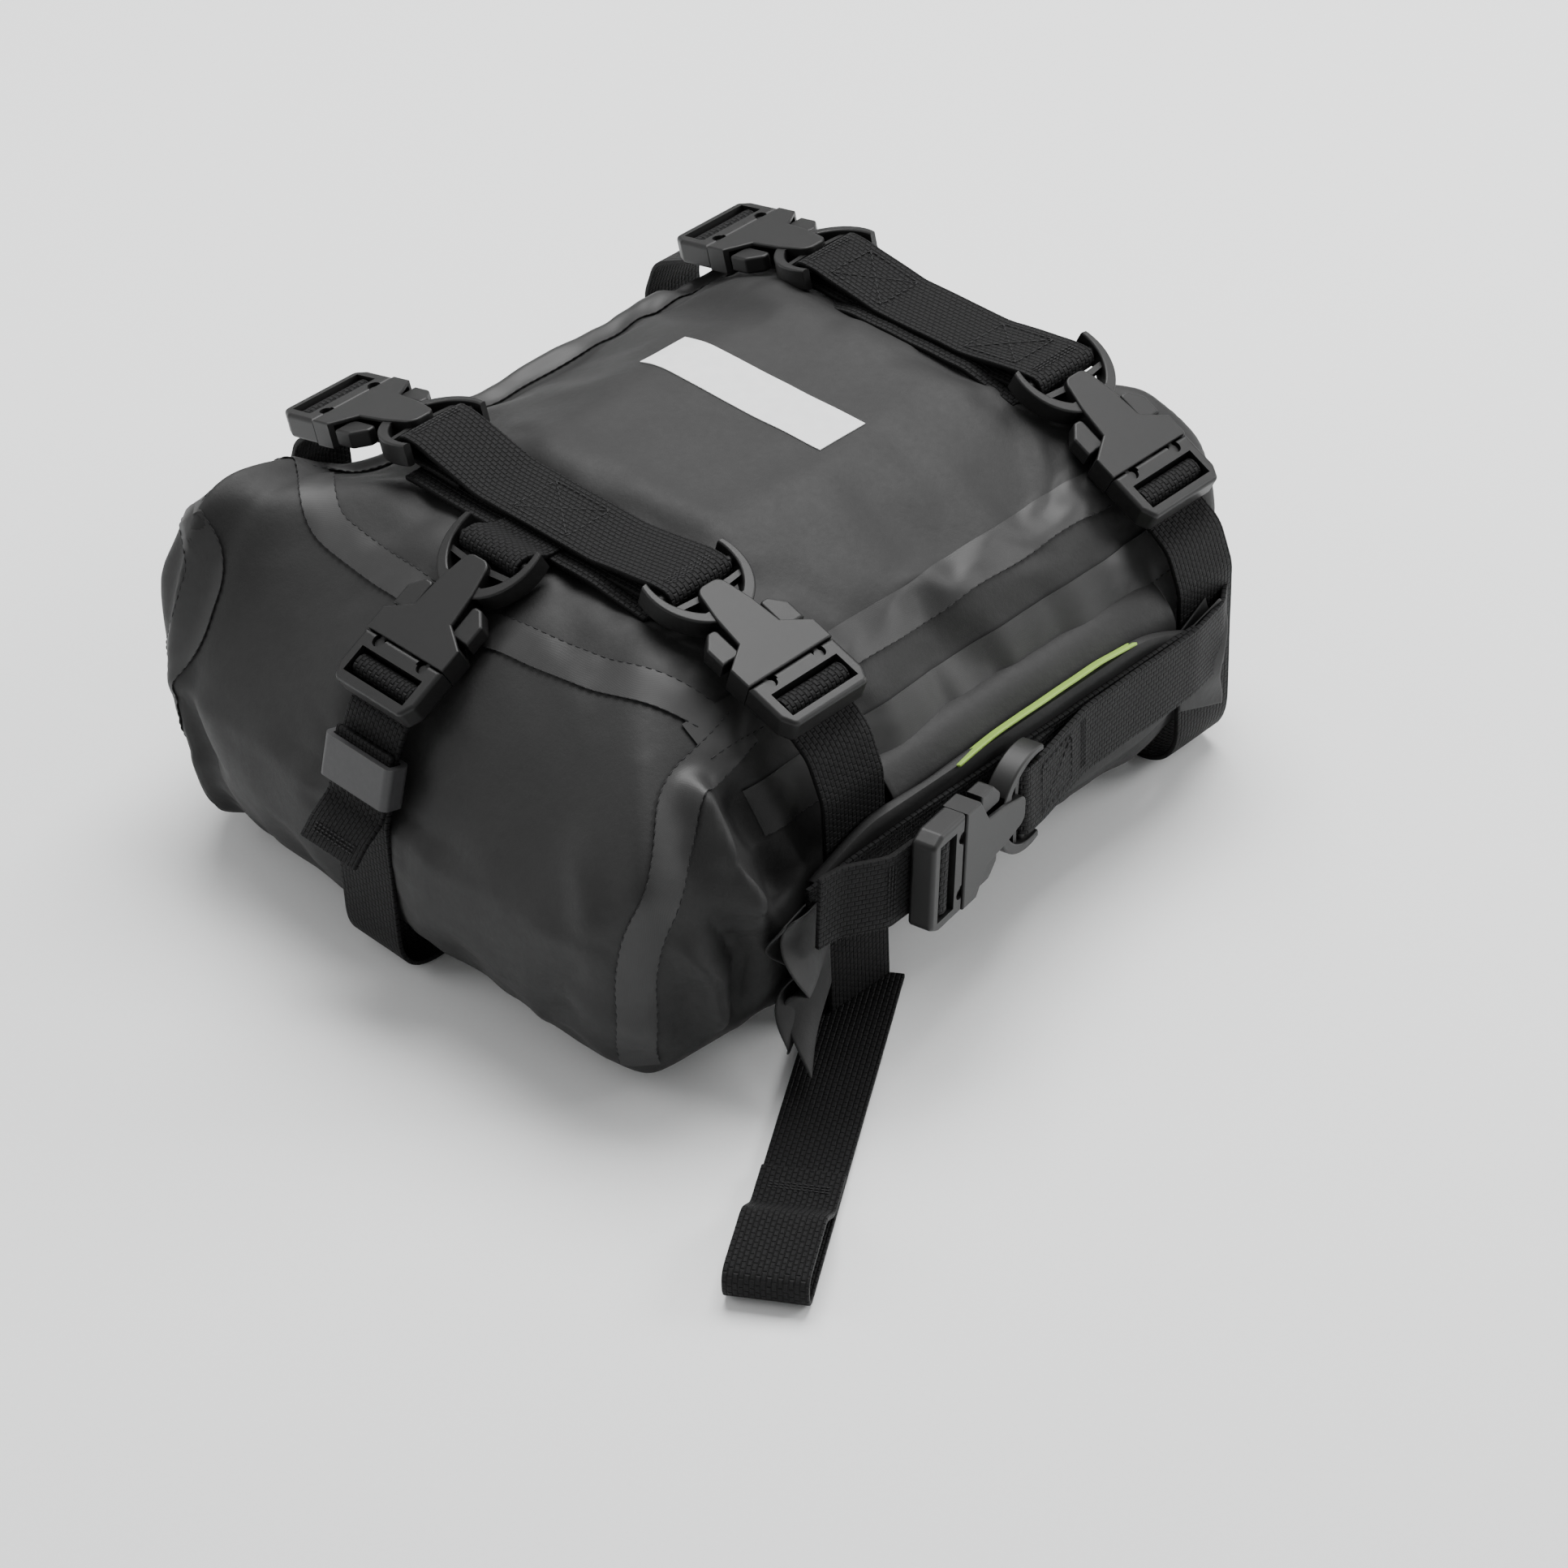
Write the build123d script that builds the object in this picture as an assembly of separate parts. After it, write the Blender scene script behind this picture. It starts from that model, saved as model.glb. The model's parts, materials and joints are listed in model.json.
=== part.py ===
from build123d import *
import math
import os

# A roll-closure tail bag: a welded tarpaulin body that opens at its +X side, a webbing harness
# over its top, and six side-release buckles. Millimetres. +Z is up, -Y faces the rider and +X is
# the side that rolls shut. The origin is the middle of the face that rests on the seat.

os.makedirs("parts", exist_ok=True)

# ---- body -------------------------------------------------------------------------------------
body_half_x = 119.0
body_front_y = -138.0
body_rear_y = 139.0
body_top_z = 117.0
side_edge_r = 80.0        # the long soft edges above the two ends of the tube
front_edge_r = 85.0
rear_edge_r = 34.0
bottom_edge_r = 28.0
corner_r = 45.0           # upright corners, seen from above
plan_spare = 0.2          # keeps the seen-from-above outline clear of the flat sides
wall = 2.0
base_patch_t = 2.6
base_patch_x = 164.0
base_patch_y = 210.0
base_board_t = 3.0
end_seam_in = 24.0        # the closed end panel is welded on this far in from its end
mouth_seam_in = 31.0      # and the two mouth panels this far in from theirs
panel_split_x = body_half_x - end_seam_in
mouth_split_x = body_half_x - mouth_seam_in
mouth_z = 64.0
mouth_slit = 3.0
weld_gap = 0.3

# ---- webbing ----------------------------------------------------------------------------------
web_w = 25.0
web_t = 1.7
web_gap = 0.3
bend_r = 1.6              # the tightest bend of the webbing, at its middle
front_strap_y = -51.0
rear_strap_y = 107.0
centre_strap_x = -0.4
drop_clear = 0.65         # between the bag and the webbing that hangs down it
side_drop_x = body_half_x + drop_clear + web_t / 2
front_drop_y = body_front_y - drop_clear - web_t / 2 - 0.15
floor_z = 1.1             # middle of webbing that lies under the bag or on the seat
tether_start = (body_half_x - 5.0, front_strap_y + 9.0)
tether_reach = (78.0, -120.0)
eye_length = 26.0
eye_height = 8.0

# ---- roll closure -----------------------------------------------------------------------------
roll_clear = 0.55         # between the side webbing and the roll
roll_inner_x = side_drop_x + web_t / 2 + roll_clear
roll_t = 4.6
band_outer_x = roll_inner_x + roll_t + web_gap + web_t
roll_z = (30.0, 70.0)
roll_y = (-72.0, 94.0)
neck_y = (-34.0, 92.0)
band_z = 52.0             # middle of the webbing sewn along the roll
stiffener_t = 1.2
stiffener_h = 20.0
lip_t = 3.5
lip_h = 3.2
lip_y = (-25.0, 48.0)

# ---- trim -------------------------------------------------------------------------------------
tape_t = 0.45
mark_size = (80.0, 20.0)
mark_centre = (-7.0, 36.0)
mark_t = 0.5
mouth_tape_in = ((29.0, 15.0), (12.5, 7.0))   # each tape's edges, measured in from the mouth end
end_tape_in = (6.0, 18.0)
front_tape_x = (-81.0, 75.0)
front_tape_y = (-98.0, -87.0)

# ---- buckles: u runs from the ring to the strap end, v across, w outwards ---------------------
buckle_t = 9.0
plate_t = 1.2
ring_half = 16.8
bar_u = 5.9
bar_r = 1.9
tongue_u = 10.6
block_u = (14.0, 22.0)
collar_u = (36.0, 46.4)
collar_half = 17.0
collar_wall = 1.6
waist_half = 7.2
frame_gap = 0.3
frame_end_u = 64.6
cross_end_u = 52.0
rail_w = 3.6
frame_t = 8.4
ladder_bar_u = 56.4
ladder_bar_r = 1.8
end_bar_u = 61.3
guide_u = 30.0
guide_w = 4.4
pivot_u = 48.6
pivot_v = 9.9
pivot_r = 1.6
prong_t = 5.8
prong_arm = 2.0
prong_tip_u = 24.0
prong_shoulder_u = 35.5
prong_half = 16.6
cut_w = -8.5              # webbing above this level moves with the male half

keeper_wall = 2.0
keeper_length = 14.0
keeper_clear = 0.5

# name: (top of the ring tips, heading in degrees from +X, downward pitch in degrees)
buckle_places = {
    "front_left": ((body_half_x - 66.0, front_strap_y, body_top_z + 13.5), 0.0, 18.7),
    "front_right": ((66.3 - body_half_x, front_strap_y, body_top_z + 15.6), 180.0, 14.0),
    "rear_left": ((body_half_x - 63.5, rear_strap_y, body_top_z + 12.0), 0.0, 27.0),
    "rear_right": ((81.4 - body_half_x, rear_strap_y, body_top_z + 11.5), 180.0, 12.0),
    "front_centre": ((centre_strap_x, front_strap_y - 23.5, body_top_z + 11.4), -90.0, 27.0),
    "closure": ((band_outer_x + 9.5, 12.5, band_z), -77.4, -6.2),
}


# ---- helpers ----------------------------------------------------------------------------------
def buckle_plane(name):
    """The plane of a buckle's middle: x along u, normal along w."""
    top, heading, pitch = buckle_places[name]
    turn = math.radians(heading)
    drop = math.radians(pitch)
    along = Vector(
        math.cos(drop) * math.cos(turn), math.cos(drop) * math.sin(turn), -math.sin(drop)
    )
    up = Vector(0, 0, 1)
    if name == "closure":
        up = Vector(math.cos(turn + math.pi / 2), math.sin(turn + math.pi / 2), 0)
    outward = (up - along * up.dot(along)).normalized()
    middle = Vector(*top) - outward * (buckle_t / 2)
    return Plane(origin=middle, x_dir=along, z_dir=outward)


def offset_route(points, radii, shift):
    """The route moved sideways by shift, with the radii that keep its bends concentric."""
    vectors = [Vector(*p) for p in points]
    steps = [(b - a).normalized() for a, b in zip(vectors, vectors[1:])]
    normals = [Vector(-s.Y, s.X) for s in steps]
    moved = [vectors[0] + normals[0] * shift]
    for corner, before, after in zip(vectors[1:-1], normals, normals[1:]):
        moved.append(corner + (before + after) * (shift / (1 + before.dot(after))))
    moved.append(vectors[-1] + normals[-1] * shift)
    bends = []
    for radius, before, after in zip(radii, steps, steps[1:]):
        left_turn = before.cross(after).Z > 0
        bends.append(radius - shift if left_turn else radius + shift)
    return moved, bends


def strip_face(points, radii, thickness=web_t):
    """Webbing seen edge-on: straight runs joined by round bends."""
    sides = []
    for shift in (thickness / 2, -thickness / 2):
        moved, bends = offset_route(points, radii, shift)
        if bends:
            sides.append(FilletPolyline(*moved, radius=bends))
        else:
            sides.append(Line(*moved))
    ends = [Line(sides[0] @ at, sides[1] @ at) for at in (0, 1)]
    return make_face([*sides[0].edges(), *sides[1].edges(), *[e.edge() for e in ends]])


def webbing(points, radii, plane, width=web_w):
    """A strip of webbing whose edge-on route lies in the given plane."""
    return extrude(plane * strip_face(points, radii), amount=width / 2, both=True)


def along_x(y):
    """The upright plane at y, whose axes are +X and +Z."""
    return Plane(origin=(0, y, 0), x_dir=(1, 0, 0), z_dir=(0, -1, 0))


def along_y(x):
    """The upright plane at x, whose axes are +Y and +Z."""
    return Plane(origin=(x, 0, 0), x_dir=(0, 1, 0), z_dir=(1, 0, 0))


def block(x, y, z):
    """A box between two values on each axis."""
    size = [b - a for a, b in (x, y, z)]
    middle = [(a + b) / 2 for a, b in (x, y, z)]
    return Pos(*middle) * Box(*size)


def rounded_block(x, y, z, radius):
    """A box with all its edges rounded."""
    solid = block(x, y, z)
    return fillet(solid.edges(), radius)


def save(name, shape):
    """Write one node."""
    solids = shape.solids()
    export_step(solids[0] if len(solids) == 1 else Compound(children=solids), f"parts/{name}.step")


# ---- body -------------------------------------------------------------------------------------
def rounded_profile(across, height, radii):
    """A rectangle with its own radius at each corner, from the low left one round."""
    middle = [(a + b) / 2 for a, b in (across, height)]
    face = Pos(*middle) * Rectangle(across[1] - across[0], height[1] - height[0])
    corners = [(a, z) for z in height for a in across]
    corners[2], corners[3] = corners[3], corners[2]
    for corner, radius in zip(corners, radii):
        spot = Vector(*corner)
        nearest = face.vertices().sort_by(lambda v: (Vector(v) - spot).length)[0]
        face = fillet(nearest, radius)
    return face


def body_form(inset):
    """The bag's closed form, pulled in all round by inset."""
    height = (base_patch_t + inset, body_top_z - inset)
    half = body_half_x - inset
    front = body_front_y + inset
    rear = body_rear_y - inset
    low_r = bottom_edge_r - inset
    side_r = side_edge_r - inset
    across = rounded_profile((-half, half), height, [low_r, low_r, side_r, side_r])
    lengthwise = rounded_profile(
        (front, rear), height, [low_r, low_r, rear_edge_r - inset, front_edge_r - inset]
    )
    plan_x = 2 * half + plan_spare
    plan_y = rear - front + plan_spare
    plan = Pos(0, (front + rear) / 2) * RectangleRounded(plan_x, plan_y, corner_r - inset)
    crosswise = extrude(along_x(0) * across, amount=2 * body_rear_y, both=True)
    form = crosswise & extrude(along_y(0) * lengthwise, amount=2 * body_half_x, both=True)
    return extrude(plan, amount=2 * body_top_z) & form


outer = body_form(0)
skin = outer - body_form(wall)
far = 400.0
end_panel = skin & block((-far, -panel_split_x), (-far, far), (-far, far))
main_panel = skin & block((-panel_split_x, mouth_split_x), (-far, far), (-far, far))
mouth_top = mouth_z + mouth_slit / 2
mouth_bottom = mouth_z - mouth_slit / 2
mouth_panel_upper = skin & block((mouth_split_x, far), (-far, far), (mouth_top, far))
mouth_panel_lower = skin & block((mouth_split_x, far), (-far, far), (-far, mouth_bottom))
save("end_panel", end_panel)
save("main_panel", main_panel)
save("mouth_panel_upper", mouth_panel_upper)
save("mouth_panel_lower", mouth_panel_lower)

base_patch = extrude(RectangleRounded(base_patch_x, base_patch_y, 20), amount=base_patch_t)
save("base_patch", base_patch)
board_size = (base_patch_x, base_patch_y, base_board_t)
board_z = base_patch_t + wall + weld_gap
base_board = Pos(0, 0, board_z) * extrude(
    RectangleRounded(board_size[0], board_size[1], 15), amount=base_board_t
)
save("base_board", base_board)

# ---- welded tapes -----------------------------------------------------------------------------
tape_skin = body_form(-tape_t) - outer
mouth_tapes = Compound(
    children=[
        (tape_skin & block((body_half_x - a, body_half_x - b), (-92, 118), (60, far))).solid()
        for a, b in mouth_tape_in
    ]
)
save("mouth_tapes", mouth_tapes)
end_tape_x = [a - body_half_x for a in end_tape_in]
save("end_seam_tape", tape_skin & block(end_tape_x, (-far, far), (-far, far)))
save("front_seam_tape", tape_skin & block(front_tape_x, front_tape_y, (60, far)))

# ---- reflective strip -------------------------------------------------------------------------
mark = extrude(RectangleRounded(*mark_size, 4), amount=mark_t)
save("reflective_strip", Pos(*mark_centre, body_top_z) * mark)

# ---- roll closure -----------------------------------------------------------------------------
roll_x = (roll_inner_x, roll_inner_x + roll_t)
roll = rounded_block(roll_x, roll_y, roll_z, roll_t / 2 - 0.1)
roll_middle_x = sum(roll_x) / 2
stiffener_x = (roll_middle_x - stiffener_t / 2, roll_middle_x + stiffener_t / 2)
stiffener_y = (roll_y[0] + 12, roll_y[1] - 12)
stiffener_z = (band_z - stiffener_h / 2, band_z + stiffener_h / 2)
pocket = [(a - weld_gap, b + weld_gap) for a, b in (stiffener_x, stiffener_y, stiffener_z)]
save("closure_roll", roll - block(*pocket))
save("roll_stiffener", block(stiffener_x, stiffener_y, stiffener_z))

neck_z = (mouth_bottom + weld_gap, mouth_top - weld_gap)
neck_x = (body_half_x - 11, roll_inner_x - weld_gap)
save("closure_neck", block(neck_x, neck_y, neck_z))

band_x = (band_outer_x - web_t, band_outer_x)
band_reach = (band_z - web_w / 2, band_z + web_w / 2)
save("closure_band", block(band_x, roll_y, band_reach))

lip_x = (roll_middle_x - lip_t / 2, roll_middle_x + lip_t / 2)
lip_z = (roll_z[1] + weld_gap, roll_z[1] + weld_gap + lip_h)
save("lining_lip", rounded_block(lip_x, lip_y, lip_z, 1.2))

front_ear = rounded_block(
    (roll_inner_x, roll_inner_x + 10.6), (roll_y[0] - 23, roll_y[0] - weld_gap), (12, 62), 4
)
rear_ear = rounded_block(
    (roll_inner_x, roll_inner_x + 6.4), (roll_y[1] + weld_gap, roll_y[1] + 18), (24, 68), 2.5
)
save("closure_ears", Compound(children=[front_ear.solid(), rear_ear.solid()]))


# ---- buckle, in its own u, v, w ---------------------------------------------------------------
inner_half_t = buckle_t / 2 - plate_t


def mirrored(points):
    """The outline's points and their mirror image across v = 0."""
    return points + [(u, -v) for u, v in reversed(points)]


def socket_shape():
    """The female half: two plates, a collar at the mouth, a block, two horns and a bar."""
    plate_points = mirrored([
        (tongue_u, 4.6), (block_u[1], waist_half), (33.0, 8.3), (collar_u[0], 13.0),
        (38.6, collar_half), (collar_u[1], collar_half),
    ])
    plate = make_face(Polyline(*plate_points, close=True).edges())
    plate = fillet(plate.vertices().filter_by(lambda v: v.X < 12), 3.6)
    body = extrude(plate, amount=buckle_t / 2, both=True)
    body = fillet(body.edges().group_by(Axis.Z)[-1], 0.6)
    body = fillet(body.edges().group_by(Axis.Z)[0], 0.6)
    mouth = collar_half - collar_wall
    body -= block((collar_u[0] - 2, far), (-mouth, mouth), (-inner_half_t, inner_half_t))
    body -= block(
        (block_u[1], collar_u[0]), (-far, far), (-inner_half_t, inner_half_t)
    )
    horn_t = 7.4
    for side in (1, -1):
        horn = make_face([
            ThreePointArc((23.0, 7.0 * side), (13.5, 15.9 * side), (0.4, ring_half * side)),
            Line((0.4, ring_half * side), (0.0, 14.4 * side)),
            ThreePointArc((0.0, 14.4 * side), (10.5, 13.6 * side), (18.6, 7.0 * side)),
            Line((18.6, 7.0 * side), (18.6, 4.0 * side)),
            Line((18.6, 4.0 * side), (22.0, 4.0 * side)),
            Line((22.0, 4.0 * side), (23.0, 7.0 * side)),
        ])
        solid = extrude(horn, amount=horn_t / 2, both=True)
        rim = solid.edges().filter_by(GeomType.CIRCLE)
        solid = fillet(rim, 0.7)
        solid -= block((block_u[1], far), (-far, far), (-inner_half_t, inner_half_t))
        body += solid
        strut = Polyline(
            (11.6, 4.0 * side), (13.6, 5.0 * side), (12.6, 14.0 * side), (10.8, 14.0 * side),
            close=True,
        )
        body += extrude(make_face(strut.edges()), amount=2.0, both=True)
    bar = Pos(bar_u, 0, 0) * Rot(90, 0, 0) * Cylinder(bar_r, 2 * 15.0)
    return (body + bar).solid()


def male_shape():
    """The male half: a ladder-lock frame and the guide that runs into the socket."""
    start = collar_u[1] + frame_gap
    outline = Polyline(
        *mirrored([(start, collar_half), (60.0, collar_half), (frame_end_u, 14.6)]), close=True
    )
    face = make_face(outline.edges())
    face = fillet(face.vertices().filter_by(lambda v: v.X > 59), 2.2)
    body = extrude(face, amount=frame_t / 2, both=True)
    body = fillet(body.edges().group_by(Axis.Z)[-1], 1.4)
    body = fillet(body.edges().group_by(Axis.Z)[0], 1.4)
    half = collar_half - rail_w
    body -= block((cross_end_u, end_bar_u), (-half, half), (-far, far))
    for side in (1, -1):
        socket = Pos(pivot_u, pivot_v * side) * Cylinder(pivot_r + weld_gap, 2 * buckle_t)
        body -= socket
        slot = (pivot_v - prong_arm / 2 - 1.6, pivot_v + pivot_r + weld_gap)
        v = slot if side > 0 else (-slot[1], -slot[0])
        body -= block((0, pivot_u), v, (-far, far))
    body += Pos(ladder_bar_u, 0, 0) * Rot(90, 0, 0) * Cylinder(ladder_bar_r, 2 * half + 1)
    guide = block((guide_u, start + 1), (-guide_w / 2, guide_w / 2), (-guide_w / 2, guide_w / 2))
    guide = chamfer(guide.faces().sort_by(Axis.X)[0].edges(), 0.8)
    return (body + guide).solid()


def prong_shape():
    """One springy arm with its latch head, on the +v side."""
    arm_in = pivot_v - prong_arm / 2
    arm_out = pivot_v + prong_arm / 2
    head = Polyline(
        (prong_tip_u, arm_in), (prong_tip_u, 12.2), (28.5, prong_half),
        (prong_shoulder_u, prong_half), (prong_shoulder_u, arm_out), (pivot_u, arm_out),
        (pivot_u, arm_in),
        close=True,
    )
    face = make_face(head.edges())
    face = fillet(face.vertices().filter_by(lambda v: v.X < 29), 1.5)
    body = extrude(face, amount=prong_t / 2, both=True)
    body += Pos(pivot_u, pivot_v) * Cylinder(pivot_r, prong_t)
    outer_edges = body.edges().filter_by(lambda e: e.center().Y > 12.5 and abs(e.center().Z) > 2)
    return fillet(outer_edges, 0.9).solid()


socket = socket_shape()
male = male_shape()
prong = prong_shape()
for name in buckle_places:
    place = buckle_plane(name).location
    save(f"{name}_socket", place * socket)
    save(f"{name}_male", place * male)
    save(f"{name}_prong_a", place * prong)
    save(f"{name}_prong_b", place * mirror(prong, about=Plane.XZ))


# ---- webbing on the male halves ---------------------------------------------------------------
uw = along_x(0)                                        # u and w of a buckle at the origin
wrap = ladder_bar_r + web_gap + web_t / 2              # from the bar's middle to the webbing's
under_w = -(frame_t / 2 + web_gap + web_t / 2)
down_u = ladder_bar_u - wrap
back_u = ladder_bar_u + wrap
loop_points = [(46.0, under_w), (down_u, under_w), (down_u, wrap), (back_u, wrap)]
loop_radii = [bend_r, wrap - 0.05, wrap - 0.05]
side_margin = 4.5                                      # side straps leave the slope before the edge


def side_turn_u(name):
    """How far along a side buckle its strap turns down."""
    plane = buckle_plane(name)
    return (side_drop_x - side_margin - abs(plane.origin.X)) / math.hypot(
        plane.x_dir.X, plane.x_dir.Y
    )


corner_buckles = ["front_left", "front_right", "rear_left", "rear_right"]
for name in corner_buckles:
    end_u = side_turn_u(name) - 2
    points = loop_points + [(back_u, under_w), (end_u, cut_w + 1.3)]
    strip = webbing(points, loop_radii + [bend_r], uw)
    save(f"{name}_webbing", buckle_plane(name).location * strip)

closure_points = loop_points + [(back_u, under_w), (72.0, under_w - 1.2), (85.0, -17.5)]
closure_strip = webbing(closure_points, loop_radii + [bend_r, 8.0], uw)
save("closure_webbing", buckle_plane("closure").location * closure_strip)

# The centre strap runs on down through a rubber keeper, with its tail doubled back outside it.
run_start = Vector(73.2, -11.5)
run_end = Vector(88.9, -27.9)
run = (run_end - run_start).normalized()
run_out = Vector(-run.Y, run.X)
centre_points = loop_points + [
    (back_u, under_w), (65.5, under_w - 0.7), (run_start.X, run_start.Y), (run_end.X, run_end.Y)
]
centre_strip = webbing(centre_points, loop_radii + [bend_r, 3.0, 3.0], uw)
tail_shift = web_t + web_gap
tail_straight = 21.0      # long enough for the keeper's travel
tail_points = [
    run_start + run_out * tail_shift - run * 1,
    run_start + run_out * tail_shift + run * tail_straight,
    run_start + run_out * (tail_shift + 4) + run * (tail_straight + 6),
]
tail = webbing([(p.X, p.Y) for p in tail_points], [4.0], uw)
centre_place = buckle_plane("front_centre").location
save(
    "front_centre_webbing",
    Compound(children=[centre_place * centre_strip.solid(), centre_place * tail.solid()]),
)

# ---- keeper -----------------------------------------------------------------------------------
keeper_at = run_start + run * 8 + run_out * (tail_shift / 2)
hole = (web_w + 2 * keeper_clear, 2 * web_t + web_gap + 2 * keeper_clear)
keeper_plane = Plane(
    origin=(keeper_at.X, 0, keeper_at.Y), x_dir=(0, 1, 0), z_dir=(run.X, 0, run.Y)
)
ring_out = RectangleRounded(hole[0] + 2 * keeper_wall, hole[1] + 2 * keeper_wall, 2.4)
ring_face = ring_out - RectangleRounded(*hole, 0.6)
keeper = extrude(keeper_plane * ring_face, amount=keeper_length / 2, both=True)
save("strap_keeper", centre_place * keeper)


# ---- harness over the top ---------------------------------------------------------------------
layer = web_t + web_gap
lower_z = body_top_z + web_gap + web_t / 2 - 0.1
link_z = lower_z + layer
upper_z = link_z + layer
ring_wrap = bar_r + web_gap + web_t / 2


def ring_bar(name):
    """The middle of the bar that the harness is sewn round."""
    plane = buckle_plane(name)
    return plane.origin + plane.x_dir * bar_u


def over_top(left, right, y, crown_z):
    """A strap over the bag, wrapped round a ring bar at each end."""
    low = ring_bar(right)
    high = ring_bar(left)
    points = [
        (low.X + 12, low.Z - ring_wrap), (low.X - ring_wrap, low.Z - ring_wrap),
        (low.X - ring_wrap, low.Z + ring_wrap), (low.X + 4, low.Z + ring_wrap),
        (low.X + 34, crown_z), (high.X - 34, crown_z),
        (high.X - 4, high.Z + ring_wrap), (high.X + ring_wrap, high.Z + ring_wrap),
        (high.X + ring_wrap, high.Z - ring_wrap), (high.X - 12, high.Z - ring_wrap),
    ]
    turn = ring_wrap - 0.05
    radii = [turn, turn, 20, 20, 20, 20, turn, turn]
    return webbing(points, radii, along_x(y))


save("front_strap_upper", over_top("front_left", "front_right", front_strap_y, upper_z))
save("rear_strap_upper", over_top("rear_left", "rear_right", rear_strap_y, link_z))
for name, left, right, y in (
    ("front_strap_lower", "front_left", "front_right", front_strap_y),
    ("rear_strap_lower", "rear_left", "rear_right", rear_strap_y),
):
    reach = (ring_bar(right).X + 15, ring_bar(left).X - 15)
    z = (lower_z - web_t / 2, lower_z + web_t / 2)
    save(name, block(reach, (y - web_w / 2, y + web_w / 2), z))

link_bar = ring_bar("front_centre")
turn = ring_wrap - 0.05
link_points = [
    (front_strap_y + 8, link_z), (link_bar.Y + 9, link_z),
    (link_bar.Y + 3, link_bar.Z + ring_wrap),
    (link_bar.Y - ring_wrap, link_bar.Z + ring_wrap),
    (link_bar.Y - ring_wrap, link_bar.Z - ring_wrap), (link_bar.Y + 8, link_bar.Z - ring_wrap),
]
save("centre_link", webbing(link_points, [8, 8, turn, turn], along_y(centre_strap_x)))

closure_plane = buckle_plane("closure")
on_band_x = band_x[1] + 2 * web_gap + web_t / 2


def closure_uw(x, y):
    """The closure buckle's u and w of a point beside the roll."""
    away = Vector(x, y, closure_plane.origin.Z) - closure_plane.origin
    u_dir = Vector(closure_plane.x_dir.X, closure_plane.x_dir.Y)
    w_dir = Vector(closure_plane.z_dir.X, closure_plane.z_dir.Y)
    area = u_dir.cross(w_dir).Z
    return away.cross(w_dir).Z / area, u_dir.cross(away).Z / area


rear_run = [
    (-4.0, -ring_wrap), (bar_u + ring_wrap, -ring_wrap), (bar_u + ring_wrap, ring_wrap),
    (0.0, ring_wrap), closure_uw(on_band_x + 0.3, 36.0), closure_uw(on_band_x, roll_y[1]),
]
closure_webbing_rear = webbing(rear_run, [turn, turn, 20, 30], uw)
save("closure_webbing_rear", closure_plane.location * closure_webbing_rear)

# ---- mount straps down the sides --------------------------------------------------------------
start_w = cut_w - web_gap - web_t / 2 - 0.2
patch_edge_x = base_patch_x / 2 + 1
patch_edge_y = base_patch_y / 2 + 1
for name in corner_buckles:
    plane = buckle_plane(name)
    turn_u = side_turn_u(name)
    side = 1 if plane.x_dir.X > 0 else -1
    first, second = [plane.from_local_coords((u, 0, start_w)) for u in (turn_u - 8, turn_u)]
    points = [(first.X, first.Z), (second.X, second.Z), (side * side_drop_x, second.Z - 10)]
    if name == "front_left":
        points.append((side * side_drop_x, floor_z + web_t / 2 + web_gap))
        radii = [4, 6]
    else:
        points += [(side * side_drop_x, floor_z), (side * patch_edge_x, floor_z)]
        radii = [4, 6, bottom_edge_r + 1.5]
    strap_y = front_strap_y if name.startswith("front") else rear_strap_y
    save(f"{name}_mount_strap", webbing(points, radii, along_x(strap_y)))

drop_top_z = body_top_z - front_edge_r + 8.0          # just above the foot of the front slope
centre_drop = [
    (front_drop_y + 2.2, drop_top_z + 13.0), (front_drop_y, drop_top_z), (front_drop_y, floor_z),
    (-patch_edge_y, floor_z),
]
centre_mount = webbing(centre_drop, [20, bottom_edge_r + 1.5], along_y(centre_strap_x))
save("front_centre_mount_strap", centre_mount)

# The front left strap goes on along the seat and ends in a sewn eye.
tether = Vector(*tether_reach)
tether_length = tether.length
tether_plane = Plane(
    origin=(*tether_start, 0), x_dir=tether, z_dir=Vector(tether.Y, -tether.X, 0)
)
eye_in = tether_length - eye_length
eye_top = floor_z + web_t + eye_height
tether_points = [
    (0, floor_z), (tether_length, floor_z), (tether_length, eye_top), (eye_in, eye_top),
    (eye_in - 9, floor_z + layer), (eye_in - 22, floor_z + layer),
]
tether_radii = [4.0, 4.0, 6.0, 6.0]
save("front_left_tether", webbing(tether_points, tether_radii, tether_plane))
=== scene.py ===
# %% [markdown]
# # A roll-closure tail bag
# This lesson dresses a soft motorcycle tail bag. The real one is a tube of coated tarpaulin,
# welded at one end and rolled shut at the other, held down by a webbing harness with
# side-release buckles. Hard plastic parts keep their measured shape and only get a finish, while
# everything soft is made here, because soft things need folds, weave and stitching that a
# measured solid doesn't have.

# %% Load the frame
import json
import math

import bpy
import numpy as np
from mathutils import Matrix, Vector, noise
from mathutils.bvhtree import BVHTree


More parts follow.
